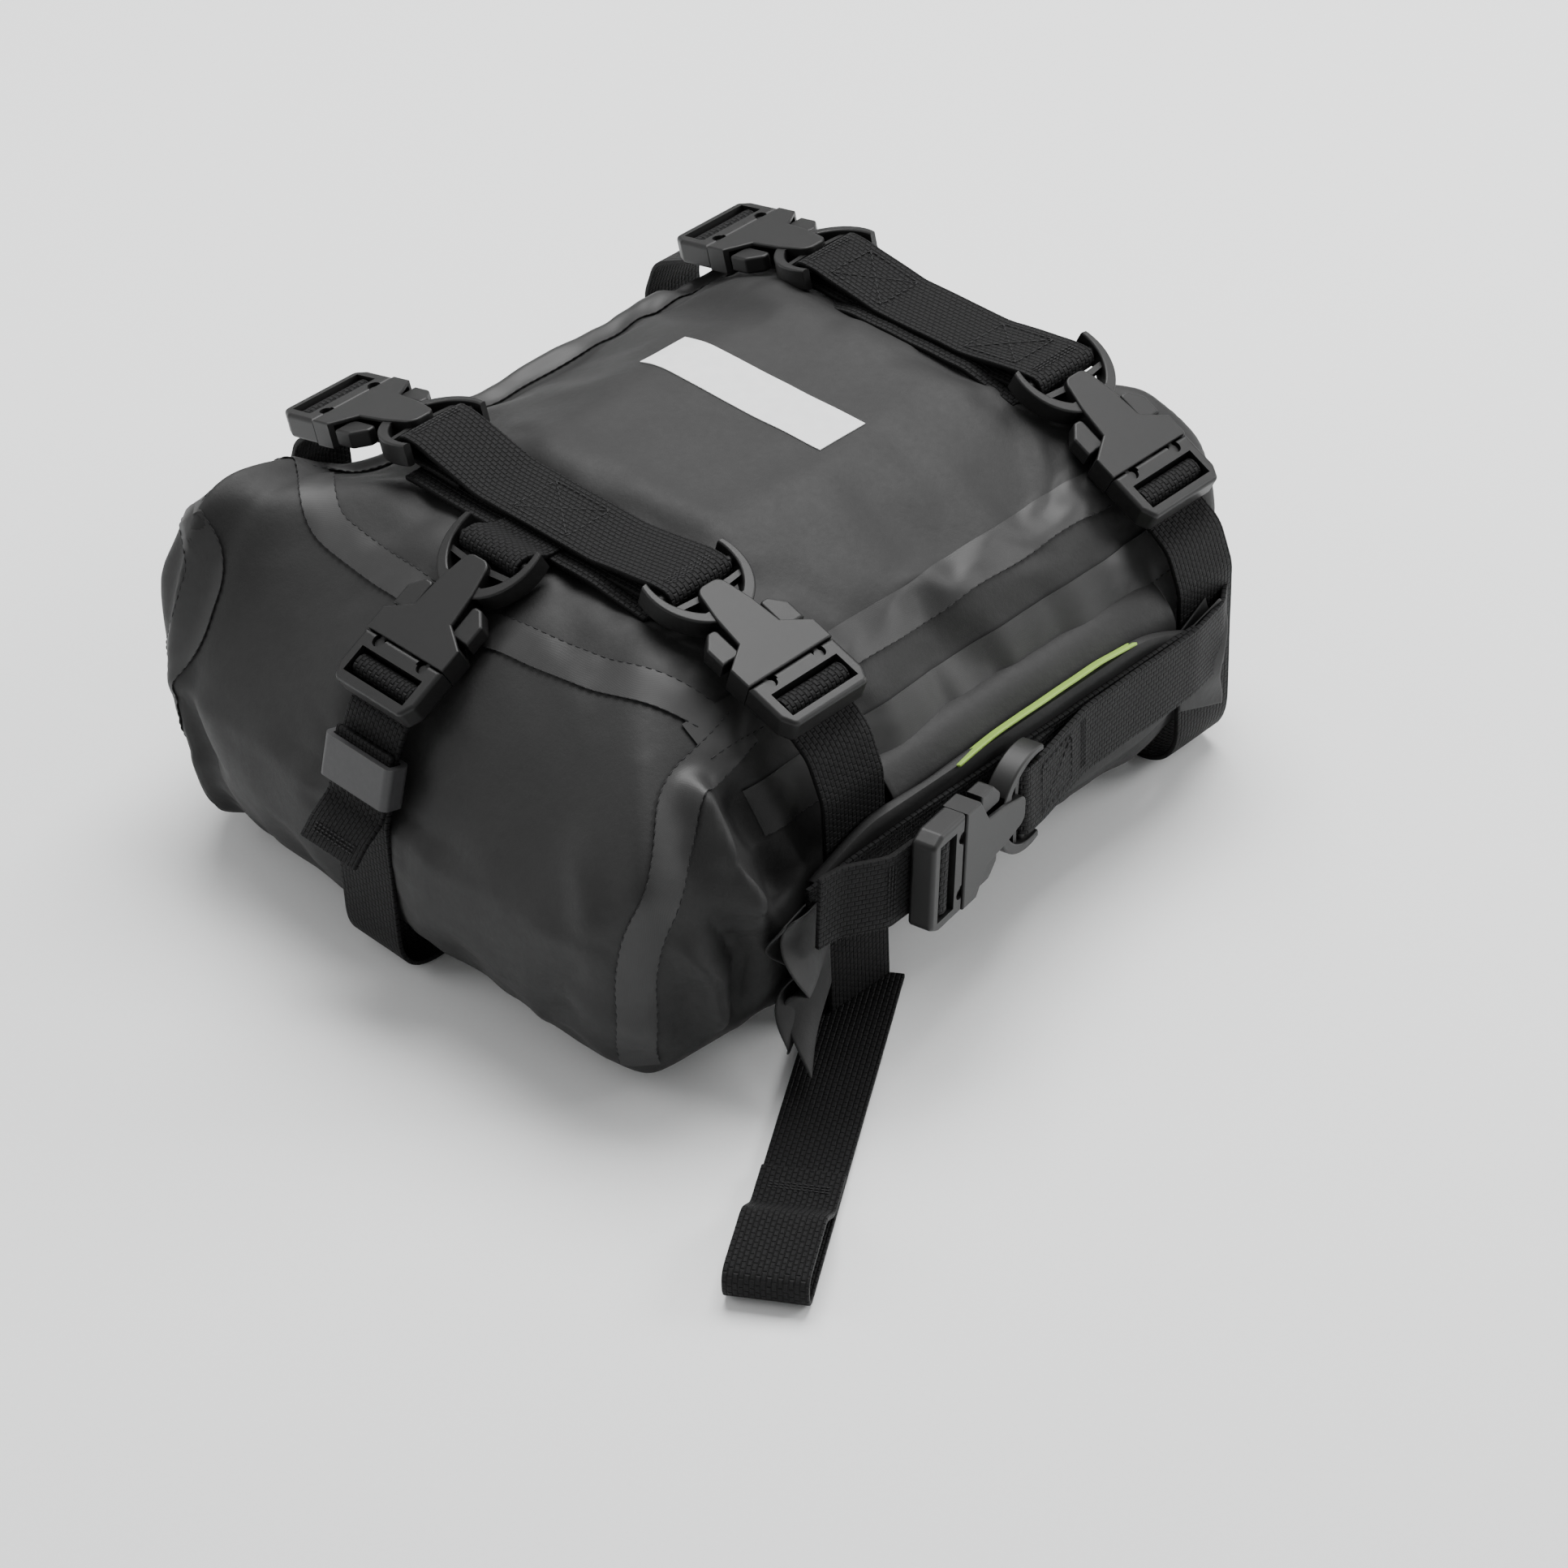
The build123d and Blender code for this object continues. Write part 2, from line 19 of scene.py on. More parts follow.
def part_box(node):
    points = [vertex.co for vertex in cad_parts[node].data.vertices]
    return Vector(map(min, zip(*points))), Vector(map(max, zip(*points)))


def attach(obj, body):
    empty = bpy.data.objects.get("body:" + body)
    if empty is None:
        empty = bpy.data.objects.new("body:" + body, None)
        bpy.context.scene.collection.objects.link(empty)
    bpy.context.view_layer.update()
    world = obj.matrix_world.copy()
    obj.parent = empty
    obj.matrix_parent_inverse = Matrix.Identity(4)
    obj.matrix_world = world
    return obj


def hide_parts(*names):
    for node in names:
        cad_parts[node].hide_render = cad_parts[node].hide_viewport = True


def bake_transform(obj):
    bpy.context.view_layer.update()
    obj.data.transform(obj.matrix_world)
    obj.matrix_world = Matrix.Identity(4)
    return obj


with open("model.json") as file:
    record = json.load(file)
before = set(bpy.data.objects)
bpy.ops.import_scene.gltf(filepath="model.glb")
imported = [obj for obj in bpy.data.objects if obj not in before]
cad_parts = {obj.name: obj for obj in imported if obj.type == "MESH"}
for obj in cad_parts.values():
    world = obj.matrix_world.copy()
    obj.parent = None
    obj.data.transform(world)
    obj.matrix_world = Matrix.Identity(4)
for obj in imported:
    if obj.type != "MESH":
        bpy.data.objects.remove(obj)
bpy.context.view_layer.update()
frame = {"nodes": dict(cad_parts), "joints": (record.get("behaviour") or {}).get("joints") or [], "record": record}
MM = 0.001


def box_of(name):
    """The low and high corners of a measured node, in millimetres."""
    return np.array(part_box(name)) / MM


# %% [markdown]
# ## Where the buckles are
# Every strap starts or ends at a buckle, so the straps take their places from the joints: the
# slide joint's axis runs along a buckle, and the two prong hinges stand either side of its middle.

# %% Read each buckle's own axes
PIVOT_U = 48.6            # from a buckle's ring end to the roots of its prongs, in millimetres
BAR_U = 5.9               # from the same end to the bar that the harness is sewn round
joint_of = {j["name"]: j for j in frame["joints"]}


class Buckle:
    """A buckle's place: u runs from its ring to its strap end, v across and w outwards."""

    def __init__(self, name):
        a = joint_of[f"{name}_prong_a_squeeze"]
        b = joint_of[f"{name}_prong_b_squeeze"]
        self.u = Vector(joint_of[f"{name}_release"]["axis"])
        self.w = Vector(a["axis"])
        self.v = self.w.cross(self.u)
        self.origin = (Vector(a["pos_m"]) + Vector(b["pos_m"])) / 2
        self.origin -= self.u * (PIVOT_U * MM)

    def at(self, u, w):
        """The point at u and w millimetres on the buckle, in metres."""
        return self.origin + (self.u * u + self.w * w) * MM

    def in_mm(self, u, w):
        """The same point, in millimetres."""
        return np.array(self.at(u, w)) / MM


buckle_names = [n.removesuffix("_release") for n in joint_of if n.endswith("_release")]
buckles = {name: Buckle(name) for name in buckle_names}
for name, buckle in buckles.items():
    print(name, [round(x / MM) for x in buckle.origin])

# %% [markdown]
# ## Camera, floor and light
# The camera stands off the rider's left shoulder and looks down through a long lens, which
# keeps the bag's edges nearly parallel. The floor is plain and pale, and the light is a large
# soft box overhead, a weaker one from the rear left and a wide fill, as in a product studio.


# %% Deselect and colour helpers
def deselect():
    """Operators act on everything that is selected, so nothing may be."""
    if bpy.context.mode != "OBJECT":
        bpy.ops.object.mode_set(mode="OBJECT")
    bpy.ops.object.select_all(action="DESELECT")


def linear(hex_colour):
    """An sRGB hex colour as linear red, green, blue and alpha."""
    channels = [int(hex_colour[i : i + 2], 16) / 255 for i in (1, 3, 5)]
    bent = [c / 12.92 if c <= 0.04045 else ((c + 0.055) / 1.055) ** 2.4 for c in channels]
    return (*bent, 1.0)


# %% The camera
CAMERA_AT = Vector((0.7889, -0.7088, 0.8284))
CAMERA_RIGHT = Vector((0.70676, 0.70649, -0.03688))
CAMERA_UP = Vector((-0.41950, 0.46051, 0.78227))
LENS = 94.54
deselect()
bpy.ops.object.camera_add(location=CAMERA_AT)
camera = bpy.context.object
camera.name = "studio_camera"
turn = Matrix((CAMERA_RIGHT, CAMERA_UP, CAMERA_RIGHT.cross(CAMERA_UP))).transposed()
camera.rotation_euler = turn.to_euler()
camera.data.lens = LENS
camera.data.sensor_width = 36
camera.data.clip_end = 20
bpy.context.scene.camera = camera


# %% The floor and the lights
def area_light(name, place, aim, size, watts):
    """A soft box that faces the point aim. Places and sizes in metres."""
    deselect()
    bpy.ops.object.light_add(type="AREA", location=place)
    lamp = bpy.context.object
    lamp.name = name
    lamp.data.shape = "RECTANGLE"
    lamp.data.size, lamp.data.size_y = size
    lamp.data.energy = watts
    lamp.rotation_euler = (Vector(aim) - Vector(place)).to_track_quat("-Z", "Y").to_euler()


area_light("overhead_box", (-0.35, 0.55, 1.5), (0, 0, 0.08), (1.3, 1.0), 46)
area_light("rear_box", (0.9, 1.25, 0.75), (0.05, 0, 0.08), (0.8, 0.5), 15)
area_light("rider_fill", (-1.1, -1.1, 0.9), (0, 0, 0.06), (1.0, 1.0), 7)
world = bpy.data.worlds.new("studio")
bpy.context.scene.world = world
world.use_nodes = True
world.node_tree.nodes["Background"].inputs["Color"].default_value = linear("#F5F5F5")
world.node_tree.nodes["Background"].inputs["Strength"].default_value = 0.5

deselect()
bpy.ops.mesh.primitive_plane_add(size=12, location=(0, 0, -0.0004))
floor = bpy.context.object
floor.name = "floor"

# %% [markdown]
# ## Finishes
# Each finish starts from what the real material is and how its surface was made. One function
# adds a node with its settings and links, and every recipe is a few calls of it. Patterns repeat
# by a size in millimetres: straps use their own flat layout as a map, so the weave turns with
# them, and everything else reads its place on the object.


# %% Node helper
COLOUR = {"data_type": "RGBA"}    # for a Mix: its factor is input 0 and its colours are 6 and 7


def add(tree, kind, settings=None, **links):
    """Adds a node. A link is an output socket or a value, named after the input it goes into."""
    made = tree.nodes.new(f"ShaderNode{kind}")
    for key, value in (settings or {}).items():
        setattr(made, key, value)
    for key, value in links.items():
        name = key.replace("_", " ")
        socket = made.inputs[int(key[3:])] if key.startswith("in_") else made.inputs[name]
        if isinstance(value, bpy.types.NodeSocket):
            tree.links.new(value, socket)
        else:
            socket.default_value = value
    return made


def finish(name, roughness, **sockets):
    """A material with a Principled shader whose constant sockets are set."""
    made = bpy.data.materials.new(name)
    made.use_nodes = True
    shader = made.node_tree.nodes["Principled BSDF"]
    shader.inputs["Roughness"].default_value = roughness
    for key, value in sockets.items():
        shader.inputs[key.replace("_", " ")].default_value = value
    return made, made.node_tree, shader


def every(pitch):
    """The scale of a pattern whose features are about pitch millimetres apart."""
    return 1 / (pitch * MM)


# %% Coated tarpaulin
def coated_tarpaulin(name, dark, light, roughness):
    """PVC-coated polyester: a matte skin with a very fine pebble, cloudy and softly scuffed."""
    made, tree, shader = finish(name, roughness, Specular_IOR_Level=0.34)
    place = add(tree, "TexCoord").outputs["Object"]
    cloud = add(tree, "TexNoise", Vector=place, Scale=every(12), Detail=4.0, Roughness=0.6)
    pebble = add(tree, "TexNoise", Vector=place, Scale=every(0.14), Detail=2.0)
    scuff = add(tree, "TexNoise", Vector=place, Scale=every(2.8), Detail=8.0, Roughness=0.7)
    tone = add(tree, "Mix", COLOUR, in_0=cloud.outputs[0], in_6=linear(dark), in_7=linear(light))
    tree.links.new(tone.outputs[2], shader.inputs["Base Color"])
    worn = add(tree, "MapRange", Value=scuff.outputs[0], To_Min=roughness - 0.07,
               To_Max=roughness + 0.09)
    tree.links.new(worn.outputs[0], shader.inputs["Roughness"])
    fine = add(tree, "Bump", Strength=0.22, Distance=0.12 * MM, Height=pebble.outputs[0])
    soft = add(tree, "Bump", Strength=0.3, Distance=0.5 * MM, Height=scuff.outputs[0],
               Normal=fine.outputs[0])
    tree.links.new(soft.outputs[0], shader.inputs["Normal"])
    return made


# %% Welded tape
def welded_tape(name, dark, light):
    """Tape pressed over a seam: smoother than the tarpaulin, with the press's dot pattern."""
    made, tree, shader = finish(name, 0.5, Specular_IOR_Level=0.42)
    place = add(tree, "TexCoord").outputs["Object"]
    dots = add(tree, "TexVoronoi", {"feature": "F1"}, Vector=place, Scale=every(0.3),
               Randomness=0.0)
    cloud = add(tree, "TexNoise", Vector=place, Scale=every(4), Detail=3.0)
    tone = add(tree, "Mix", COLOUR, in_0=cloud.outputs[0], in_6=linear(dark), in_7=linear(light))
    tree.links.new(tone.outputs[2], shader.inputs["Base Color"])
    bump = add(tree, "Bump", Strength=0.25, Distance=0.15 * MM, Height=dots.outputs[0])
    tree.links.new(bump.outputs[0], shader.inputs["Normal"])
    return made


# %% Ribbed webbing
RIB_ALONG = 2.3           # real ribs are about 1.6 by 1 mm; drawn coarser so that they show
RIB_ACROSS = 1.6
YARN_ALONG = 0.07
YARN_ACROSS = 0.8


def ribbed_webbing(name, dark, light):
    """Polyester webbing: short ribs in staggered rows. The map's units are metres of strap."""
    made, tree, shader = finish(name, 0.62, Specular_IOR_Level=0.22)
    flat = add(tree, "UVMap", {"uv_map": "flat"}).outputs[0]
    ribs = add(tree, "TexBrick", {"offset": 0.5, "squash": 1.0}, Vector=flat,
               Scale=every(RIB_ALONG), Mortar_Size=0.16, Mortar_Smooth=1.0,
               Brick_Width=1.0, Row_Height=RIB_ACROSS / RIB_ALONG)
    drawn = add(tree, "Mapping", Vector=flat, Scale=(every(YARN_ALONG), every(YARN_ACROSS), 1))
    yarn = add(tree, "TexNoise", Vector=drawn.outputs[0], Scale=1.0, Detail=2.0)
    height = add(tree, "Math", {"operation": "MULTIPLY_ADD"}, in_0=ribs.outputs["Fac"],
                 in_1=-1.0, in_2=1.0)
    mixed = add(tree, "Math", {"operation": "MULTIPLY_ADD"}, in_0=yarn.outputs[0], in_1=0.35,
                in_2=height.outputs[0])
    # the colour follows the rib height: light on the ribs and dark in the grooves between them, which is painted
    # shade
    tone = add(tree, "Mix", COLOUR, in_0=height.outputs[0], in_6=linear(dark), in_7=linear(light))
    tree.links.new(tone.outputs[2], shader.inputs["Base Color"])
    bump = add(tree, "Bump", Strength=0.9, Distance=0.55 * MM, Height=mixed.outputs[0])
    tree.links.new(bump.outputs[0], shader.inputs["Normal"])
    return made


# %% Moulded acetal and rubber
def moulded(name, dark, light, roughness, grain):
    """A moulding with a spark-eroded satin skin: even colour, with a grain in millimetres."""
    made, tree, shader = finish(name, roughness, Specular_IOR_Level=0.4)
    place = add(tree, "TexCoord").outputs["Object"]
    cloud = add(tree, "TexNoise", Vector=place, Scale=every(1.8), Detail=3.0)
    spark = add(tree, "TexNoise", Vector=place, Scale=every(grain), Detail=3.0, Roughness=0.7)
    tone = add(tree, "Mix", COLOUR, in_0=cloud.outputs[0], in_6=linear(dark), in_7=linear(light))
    tree.links.new(tone.outputs[2], shader.inputs["Base Color"])
    worn = add(tree, "MapRange", Value=spark.outputs[0], To_Min=roughness - 0.08,
               To_Max=roughness + 0.1)
    tree.links.new(worn.outputs[0], shader.inputs["Roughness"])
    bump = add(tree, "Bump", Strength=0.35, Distance=0.08 * MM, Height=spark.outputs[0])
    tree.links.new(bump.outputs[0], shader.inputs["Normal"])
    return made


# %% The object's finishes
tarpaulin = coated_tarpaulin("matte_tarpaulin", "#1C1C1C", "#232323", 0.62)
tape_finish = welded_tape("welded_seam_tape", "#222222", "#2A2A2A")
# the darker webbing colour goes in the grooves between the ribs, as painted shade
webbing_finish = ribbed_webbing("black_polyester_webbing", "#010101", "#101011")
acetal = moulded("satin_acetal", "#0E0E0E", "#141414", 0.46, 0.09)
keeper_rubber = moulded("grey_rubber", "#343435", "#3E3E3F", 0.5, 0.16)
base_rubber = moulded("base_rubber", "#1B1B1C", "#232324", 0.7, 0.22)
stiffener_sheet = moulded("polyethylene_sheet", "#161617", "#1C1C1D", 0.5, 0.2)
lining = coated_tarpaulin("lime_lining", "#83A544", "#94B652", 0.5)
reflective = welded_tape("reflective_film", "#DFE0E1", "#EEEFEF")
thread = moulded("black_thread", "#121213", "#1A1A1B", 0.7, 0.06)
paper = moulded("pale_floor", "#F3F4F4", "#F7F8F8", 0.9, 0.4)
floor.data.materials.append(paper)

slot_finishes = {
    "tarpaulin": tarpaulin, "seam_tape": tape_finish, "base_rubber": base_rubber,
    "stiffener": stiffener_sheet, "reflective": reflective, "lining": lining,
    "webbing": webbing_finish, "buckle": acetal, "keeper": keeper_rubber,
}
slot_of = {s["node"]: s["material_slot"] for s in frame["record"]["subparts"]}
for name, obj in frame["nodes"].items():
    obj.data.materials.clear()
    obj.data.materials.append(slot_finishes[slot_of[name]])

# %% [markdown]
# ## The shell
# The real body is flat panels of coated cloth welded into a soft box, which its load then
# fills. A plain box with rounded edges would look moulded. So a finely divided block is settled
# onto the bag's rounded outline, blown up a little as cloth that is held where the straps pull
# on it, and then worked: grooves under the straps, a rim at the welded end, folds at
# the mouth. Three rounded outlines, seen from the front, the side and above, say where it lies.

# %% The outline of the body
SIDE_EDGE_R = 80.0
FRONT_EDGE_R = 85.0
REAR_EDGE_R = 34.0
BOTTOM_EDGE_R = 28.0
CORNER_R = 45.0
WEB_W = 25.0
WEB_T = 1.6
FRONT_STRAP_Y = buckles["front_left"].origin.y / MM
REAR_STRAP_Y = buckles["rear_left"].origin.y / MM
CENTRE_STRAP_X = buckles["front_centre"].origin.x / MM

panels = ("main_panel", "end_panel", "mouth_panel_upper", "mouth_panel_lower")
panel_boxes = np.array([box_of(name) for name in panels])
body_low = panel_boxes[:, 0].min(axis=0)
body_high = panel_boxes[:, 1].max(axis=0)
print("body from", body_low.round(1), "to", body_high.round(1))


def outside_of(a, b, low, high, radii):
    """How far points are outside a rectangle whose corners, from the low left one round, are
    rounded by radii. Inside it the distance is negative."""
    from_middle = [a - (low[0] + high[0]) / 2, b - (low[1] + high[1]) / 2]
    right = from_middle[0] > 0
    upper = from_middle[1] > 0
    radius = np.select([~right & ~upper, right & ~upper, right & upper], radii[:3], radii[3])
    over = [np.abs(m) - (h - l) / 2 + radius for m, l, h in zip(from_middle, low, high)]
    rounded_part = np.hypot(np.maximum(over[0], 0), np.maximum(over[1], 0))
    return rounded_part + np.minimum(np.maximum(*over), 0) - radius


def outside_body(p):
    """How far points are outside the body."""
    x, y, z = p.T
    bottom = [BOTTOM_EDGE_R] * 2
    pick = [[0, 2], [1, 2], [0, 1]]
    across = outside_of(x, z, body_low[pick[0]], body_high[pick[0]], bottom + [SIDE_EDGE_R] * 2)
    lengthwise = outside_of(
        y, z, body_low[pick[1]], body_high[pick[1]], bottom + [REAR_EDGE_R, FRONT_EDGE_R]
    )
    plan = outside_of(x, y, body_low[pick[2]], body_high[pick[2]], [CORNER_R] * 4)
    return np.maximum(np.maximum(across, lengthwise), plan)


# %% Reading and writing a mesh's points in millimetres
def points_of(obj):
    """The object's points as rows of millimetres."""
    flat = np.empty(len(obj.data.vertices) * 3)
    obj.data.vertices.foreach_get("co", flat)
    return flat.reshape(-1, 3) / MM


def normals_of(obj):
    """The object's outward directions, one for each point."""
    flat = np.empty(len(obj.data.vertices) * 3)
    obj.data.vertices.foreach_get("normal", flat)
    return flat.reshape(-1, 3)


def move_points(obj, points):
    """Puts the object's points at rows of millimetres."""
    obj.data.vertices.foreach_set("co", (points * MM).ravel())
    obj.data.update()


def apply_all(obj):
    """Applies every modifier."""
    deselect()
    obj.select_set(True)
    bpy.context.view_layer.objects.active = obj
    for modifier in list(obj.modifiers):
        bpy.ops.object.modifier_apply(modifier=modifier.name)


def apply_and_smooth(piece, angle):
    """Applies the modifiers, turns the faces outwards and smooths edges under angle degrees."""
    apply_all(piece)
    bpy.ops.object.mode_set(mode="EDIT")
    bpy.ops.mesh.select_all(action="SELECT")
    bpy.ops.mesh.normals_make_consistent(inside=False)
    bpy.ops.object.mode_set(mode="OBJECT")
    bpy.ops.object.shade_smooth_by_angle(angle=math.radians(angle))


def flat_grid(name, columns, rows):
    """A flat grid, and how far along and across it each point lies, as shares."""
    deselect()
    bpy.ops.mesh.primitive_grid_add(x_subdivisions=columns, y_subdivisions=rows, size=1)
    piece = bpy.context.object
    piece.name = name
    return piece, points_of(piece)[:, :2] * MM + 0.5


def thicken(piece, thickness):
    """Gives a sheet its thickness in millimetres, half of it to each side."""
    wall = piece.modifiers.new("thickness", "SOLIDIFY")
    wall.thickness = thickness * MM
    wall.offset = 0


# %% A divided block settled onto the outline
SHELL_CUTS = 54
SPREAD = 1.4              # how far past the outline the block starts
SETTLE_STEPS = 24
body_middle = (body_low + body_high) / 2
deselect()
bpy.ops.mesh.primitive_cube_add(size=1)
shell = bpy.context.object
shell.name = "bag_shell"
bpy.ops.object.mode_set(mode="EDIT")
bpy.ops.mesh.subdivide(number_cuts=SHELL_CUTS)
bpy.ops.object.mode_set(mode="OBJECT")
ways = points_of(shell) * MM * (body_high - body_low) * SPREAD
near = np.zeros(len(ways))
far = np.ones(len(ways))
for _ in range(SETTLE_STEPS):
    half_way = (near + far) / 2
    is_out = outside_body(body_middle + ways * half_way[:, None]) > 0
    far = np.where(is_out, half_way, far)
    near = np.where(is_out, near, half_way)
move_points(shell, body_middle + ways * near[:, None])
soften = shell.modifiers.new("soften", "SMOOTH")
soften.factor = 0.5
soften.iterations = 6
apply_all(shell)
print("shell points", len(shell.data.vertices))

# %% [markdown]
# ### Blowing it up
# Blender's Cloth with a little pressure fills the block as the load fills the bag. The strips
# under the straps and the base are pinned, so the cloth swells between them and not under them.
# No point may go further than a few millimetres.

# %% Cloth under pressure
SWELL_CAP = 4.5           # no point may swell by more, in millimetres
CLOTH_FRAMES = 18
HELD_BELOW = 12.0
HELD_AT_MOUTH = 3.0


def under_strap(p):
    """Which points lie under a strap."""
    half = WEB_W / 2
    over_top = (np.abs(p[:, 1] - FRONT_STRAP_Y) < half) | (np.abs(p[:, 1] - REAR_STRAP_Y) < half)
    down_front = (np.abs(p[:, 0] - CENTRE_STRAP_X) < half) & (p[:, 1] < FRONT_STRAP_Y)
    return over_top | down_front


start = points_of(shell)
pinned = under_strap(start) | (start[:, 2] < HELD_BELOW)
pinned |= start[:, 0] > body_high[0] - HELD_AT_MOUTH
group = shell.vertex_groups.new(name="held")
group.add([int(i) for i in np.flatnonzero(pinned)], 1.0, "REPLACE")
cloth = shell.modifiers.new("cloth", "CLOTH")
cloth.settings.quality = 5
cloth.settings.mass = 0.4
cloth.settings.tension_stiffness = 12
cloth.settings.compression_stiffness = 12
cloth.settings.bending_stiffness = 0.8
cloth.settings.use_pressure = True
cloth.settings.uniform_pressure_force = 3.0
cloth.settings.shrink_min = -0.018
cloth.settings.vertex_group_mass = "held"
cloth.settings.effector_weights.gravity = 0
cloth.point_cache.frame_start = 1
cloth.point_cache.frame_end = CLOTH_FRAMES
for step in range(1, CLOTH_FRAMES + 1):
    bpy.context.scene.frame_set(step)
apply_all(shell)
bpy.context.scene.frame_set(1)
shell.vertex_groups.clear()
moved = points_of(shell) - start
reach = np.linalg.norm(moved, axis=1)
share = np.minimum(1, SWELL_CAP / np.maximum(reach, 1e-6))
move_points(shell, start + moved * share[:, None])
print("cloth moved at most", reach.max().round(1), "mm before the cap")
shell.modifiers.new("finer", "SUBSURF").levels = 1
shell.modifiers["finer"].render_levels = 1
apply_all(shell)

# %% [markdown]
# ### Working the shell
# A fold is a line across the cloth where it stands proud or sinks in. Each one is a few points
# on the surface, a width and a height, and it fades out at its ends. Folds fan out from where
# the cloth is gathered: the welded corners, the mouth and the edges that the straps pull on.


# %% Folds
FOLD_FADE = 0.25          # the share of a fold over which it dies away at each end
GROOVE_SIDE = 2.2         # the width of the slope at a strap's edge, in millimetres
SWELL_OFF = 11.0          # from a strap's edge to the crest beside it
SWELL_WIDE = 9.0


def along_route(p, route):
    """Each point's distance from a route of straight runs, and its place along it from 0 to 1."""
    route = np.array(route, dtype=float)
    runs = np.linalg.norm(np.diff(route, axis=0), axis=1)
    total = runs.sum()
    best = np.full(len(p), np.inf)
    place = np.zeros(len(p))
    done = 0.0
    for a, b, run in zip(route, route[1:], runs):
        t = np.clip((p - a) @ (b - a) / run**2, 0, 1)
        away = np.linalg.norm(p - (a + t[:, None] * (b - a)), axis=1)
        closer = away < best
        best = np.where(closer, away, best)
        place = np.where(closer, (done + t * run) / total, place)
        done += run
    return best, place


def fold(p, route, width, height):
    """How far a fold lifts each point: most on its line, nothing at its ends."""
    away, place = along_route(p, route)
    ends = np.clip(np.minimum(place, 1 - place) / FOLD_FADE, 0, 1)
    return height * np.exp(-((away / width) ** 2)) * (ends * ends * (3 - 2 * ends))


def groove(offset, half_width, depth, swell):
    """A strap's groove: its floor is flat, and the cloth swells up on both sides of it."""
    away = np.abs(offset)
    sunk = -depth / (1 + np.exp((away - half_width) / GROOVE_SIDE))
    return sunk + swell * np.exp(-(((away - half_width - SWELL_OFF) / SWELL_WIDE) ** 2))


# %% Where the folds are
FOLDS = [
    # a route, a width and a height in millimetres; a negative height is a crease
    ([(74, -126, 96), (92, -130, 70), (98, -132, 34)], 6, 2.0),
    ([(92, -92, 98), (110, -98, 78), (121, -96, 54)], 4.2, 9.0),
    ([(100, -80, 96), (115, -82, 74), (120, -80, 50)], 7, -9.0),
    ([(108, -116, 66), (117, -110, 44), (117, -106, 18)], 3.8, 6.5),
    ([(110, -106, 72), (119, -100, 44), (118, -99, 14)], 3.6, -7.5),
    ([(84, -134, 40), (104, -128, 28), (114, -116, 22)], 7, 2.4),
    ([(102, -98, 26), (112, -104, 40), (118, -100, 54)], 4, 3.0),
    ([(96, -36, 108), (110, -30, 92), (117, -24, 66)], 10, -1.1),
    ([(98, 10, 108), (112, 18, 92), (118, 22, 64)], 13, 0.9),
    ([(96, 84, 110), (112, 78, 92), (118, 70, 66)], 7, -1.5),
    ([(100, 92, 106), (114, 92, 84), (119, 88, 60)], 5, 2.4),
    ([(60, 128, 110), (92, 126, 96), (112, 118, 70)], 6, 2.2),
    ([(72, 118, 114), (100, 118, 92), (114, 116, 56)], 4, -2.0),
    ([(-92, -122, 98), (-108, -108, 84), (-112, -96, 50)], 5, 1.8),
    ([(-96, -30, 110), (-112, -24, 84), (-117, -20, 40)], 9, -2.2),
    ([(-96, 20, 110), (-112, 30, 84), (-117, 36, 40)], 11, 1.8),
    ([(-98, 84, 110), (-112, 84, 84), (-117, 80, 44)], 6, -2.0),
    ([(-20, -128, 90), (-14, -136, 60), (-13, -138, 30)], 4, 1.4),
    ([(20, -128, 92), (14, -136, 62), (14, -138, 28)], 4, 1.4),
    ([(-64, -34, 116), (-30, -30, 117), (10, -34, 117)], 5, 1.2),
    ([(-60, 90, 117), (-20, 86, 117), (30, 90, 117)], 4, 1.2),
    ([(-80, 84, 114), (-86, 50, 114), (-84, 10, 115)], 8, -1.4),
]

# %% [markdown]
# Three larger moves come after the folds. The welded corner by the rider is pulled up into a
# point, the gathered corner of the mouth bulges out towards the roll, and the closed end is drawn
# in at its foot, where the base is shorter than the top.

# %% How far the shell is worked, in millimetres
WELD_X = -94.0
WELD_RIDGE = (3.4, 3.0)             # height and width of the rim that the weld leaves
WELD_DIP = (1.0, 4.0, 8.0)          # depth, width and distance of the dip beside it
CORNER_AT = (-106.0, -98.0, 90.0)
CORNER_REACH = (30.0, 32.0, 34.0)
CORNER_PULL = (3.0, -5.0, 25.0)
MOUTH_AT = (116.0, -92.0, 50.0)
MOUTH_REACH = (16.0, 15.0, 34.0)
MOUTH_PULL = (8.0, 1.0, 2.0)
TAPER_Z = 70.0                      # the taper starts below this height
TAPER_X = -45.0                     # and past this place across
TAPER_RUN = 60.0
TAPER_IN = 16.0
TOP_GROOVE = (1.2, 1.6)             # depth of a strap's groove and height of the swell beside it
FRONT_GROOVE = (1.0, 1.2)
FRONT_GROOVE_Y = -70.0
FRONT_GROOVE_FADE = 15.0
CRUMPLE_SIZE = 62.0
CRUMPLE_LIFT = 1.1
ROLL_FROM_Y = -72.0
ROLL_PLAY = 1.0                     # how far the cloth may rise at the roll
SLOPE_PLAY = 8.0                    # and how much more where it slopes away from the roll
FLAT_BELOW = 4.0                    # the base lies flat on the seat up to this height
FLAT_FADE = 8.0


def end_taper(across, height):
    """How far the closed end's foot is drawn in towards the middle, for places across and up."""
    low_share = np.clip(1 - np.asarray(height) / TAPER_Z, 0, 1)
    end_share = np.clip((TAPER_X - np.asarray(across)) / TAPER_RUN, 0, 1)
    return TAPER_IN * low_share**1.5 * end_share


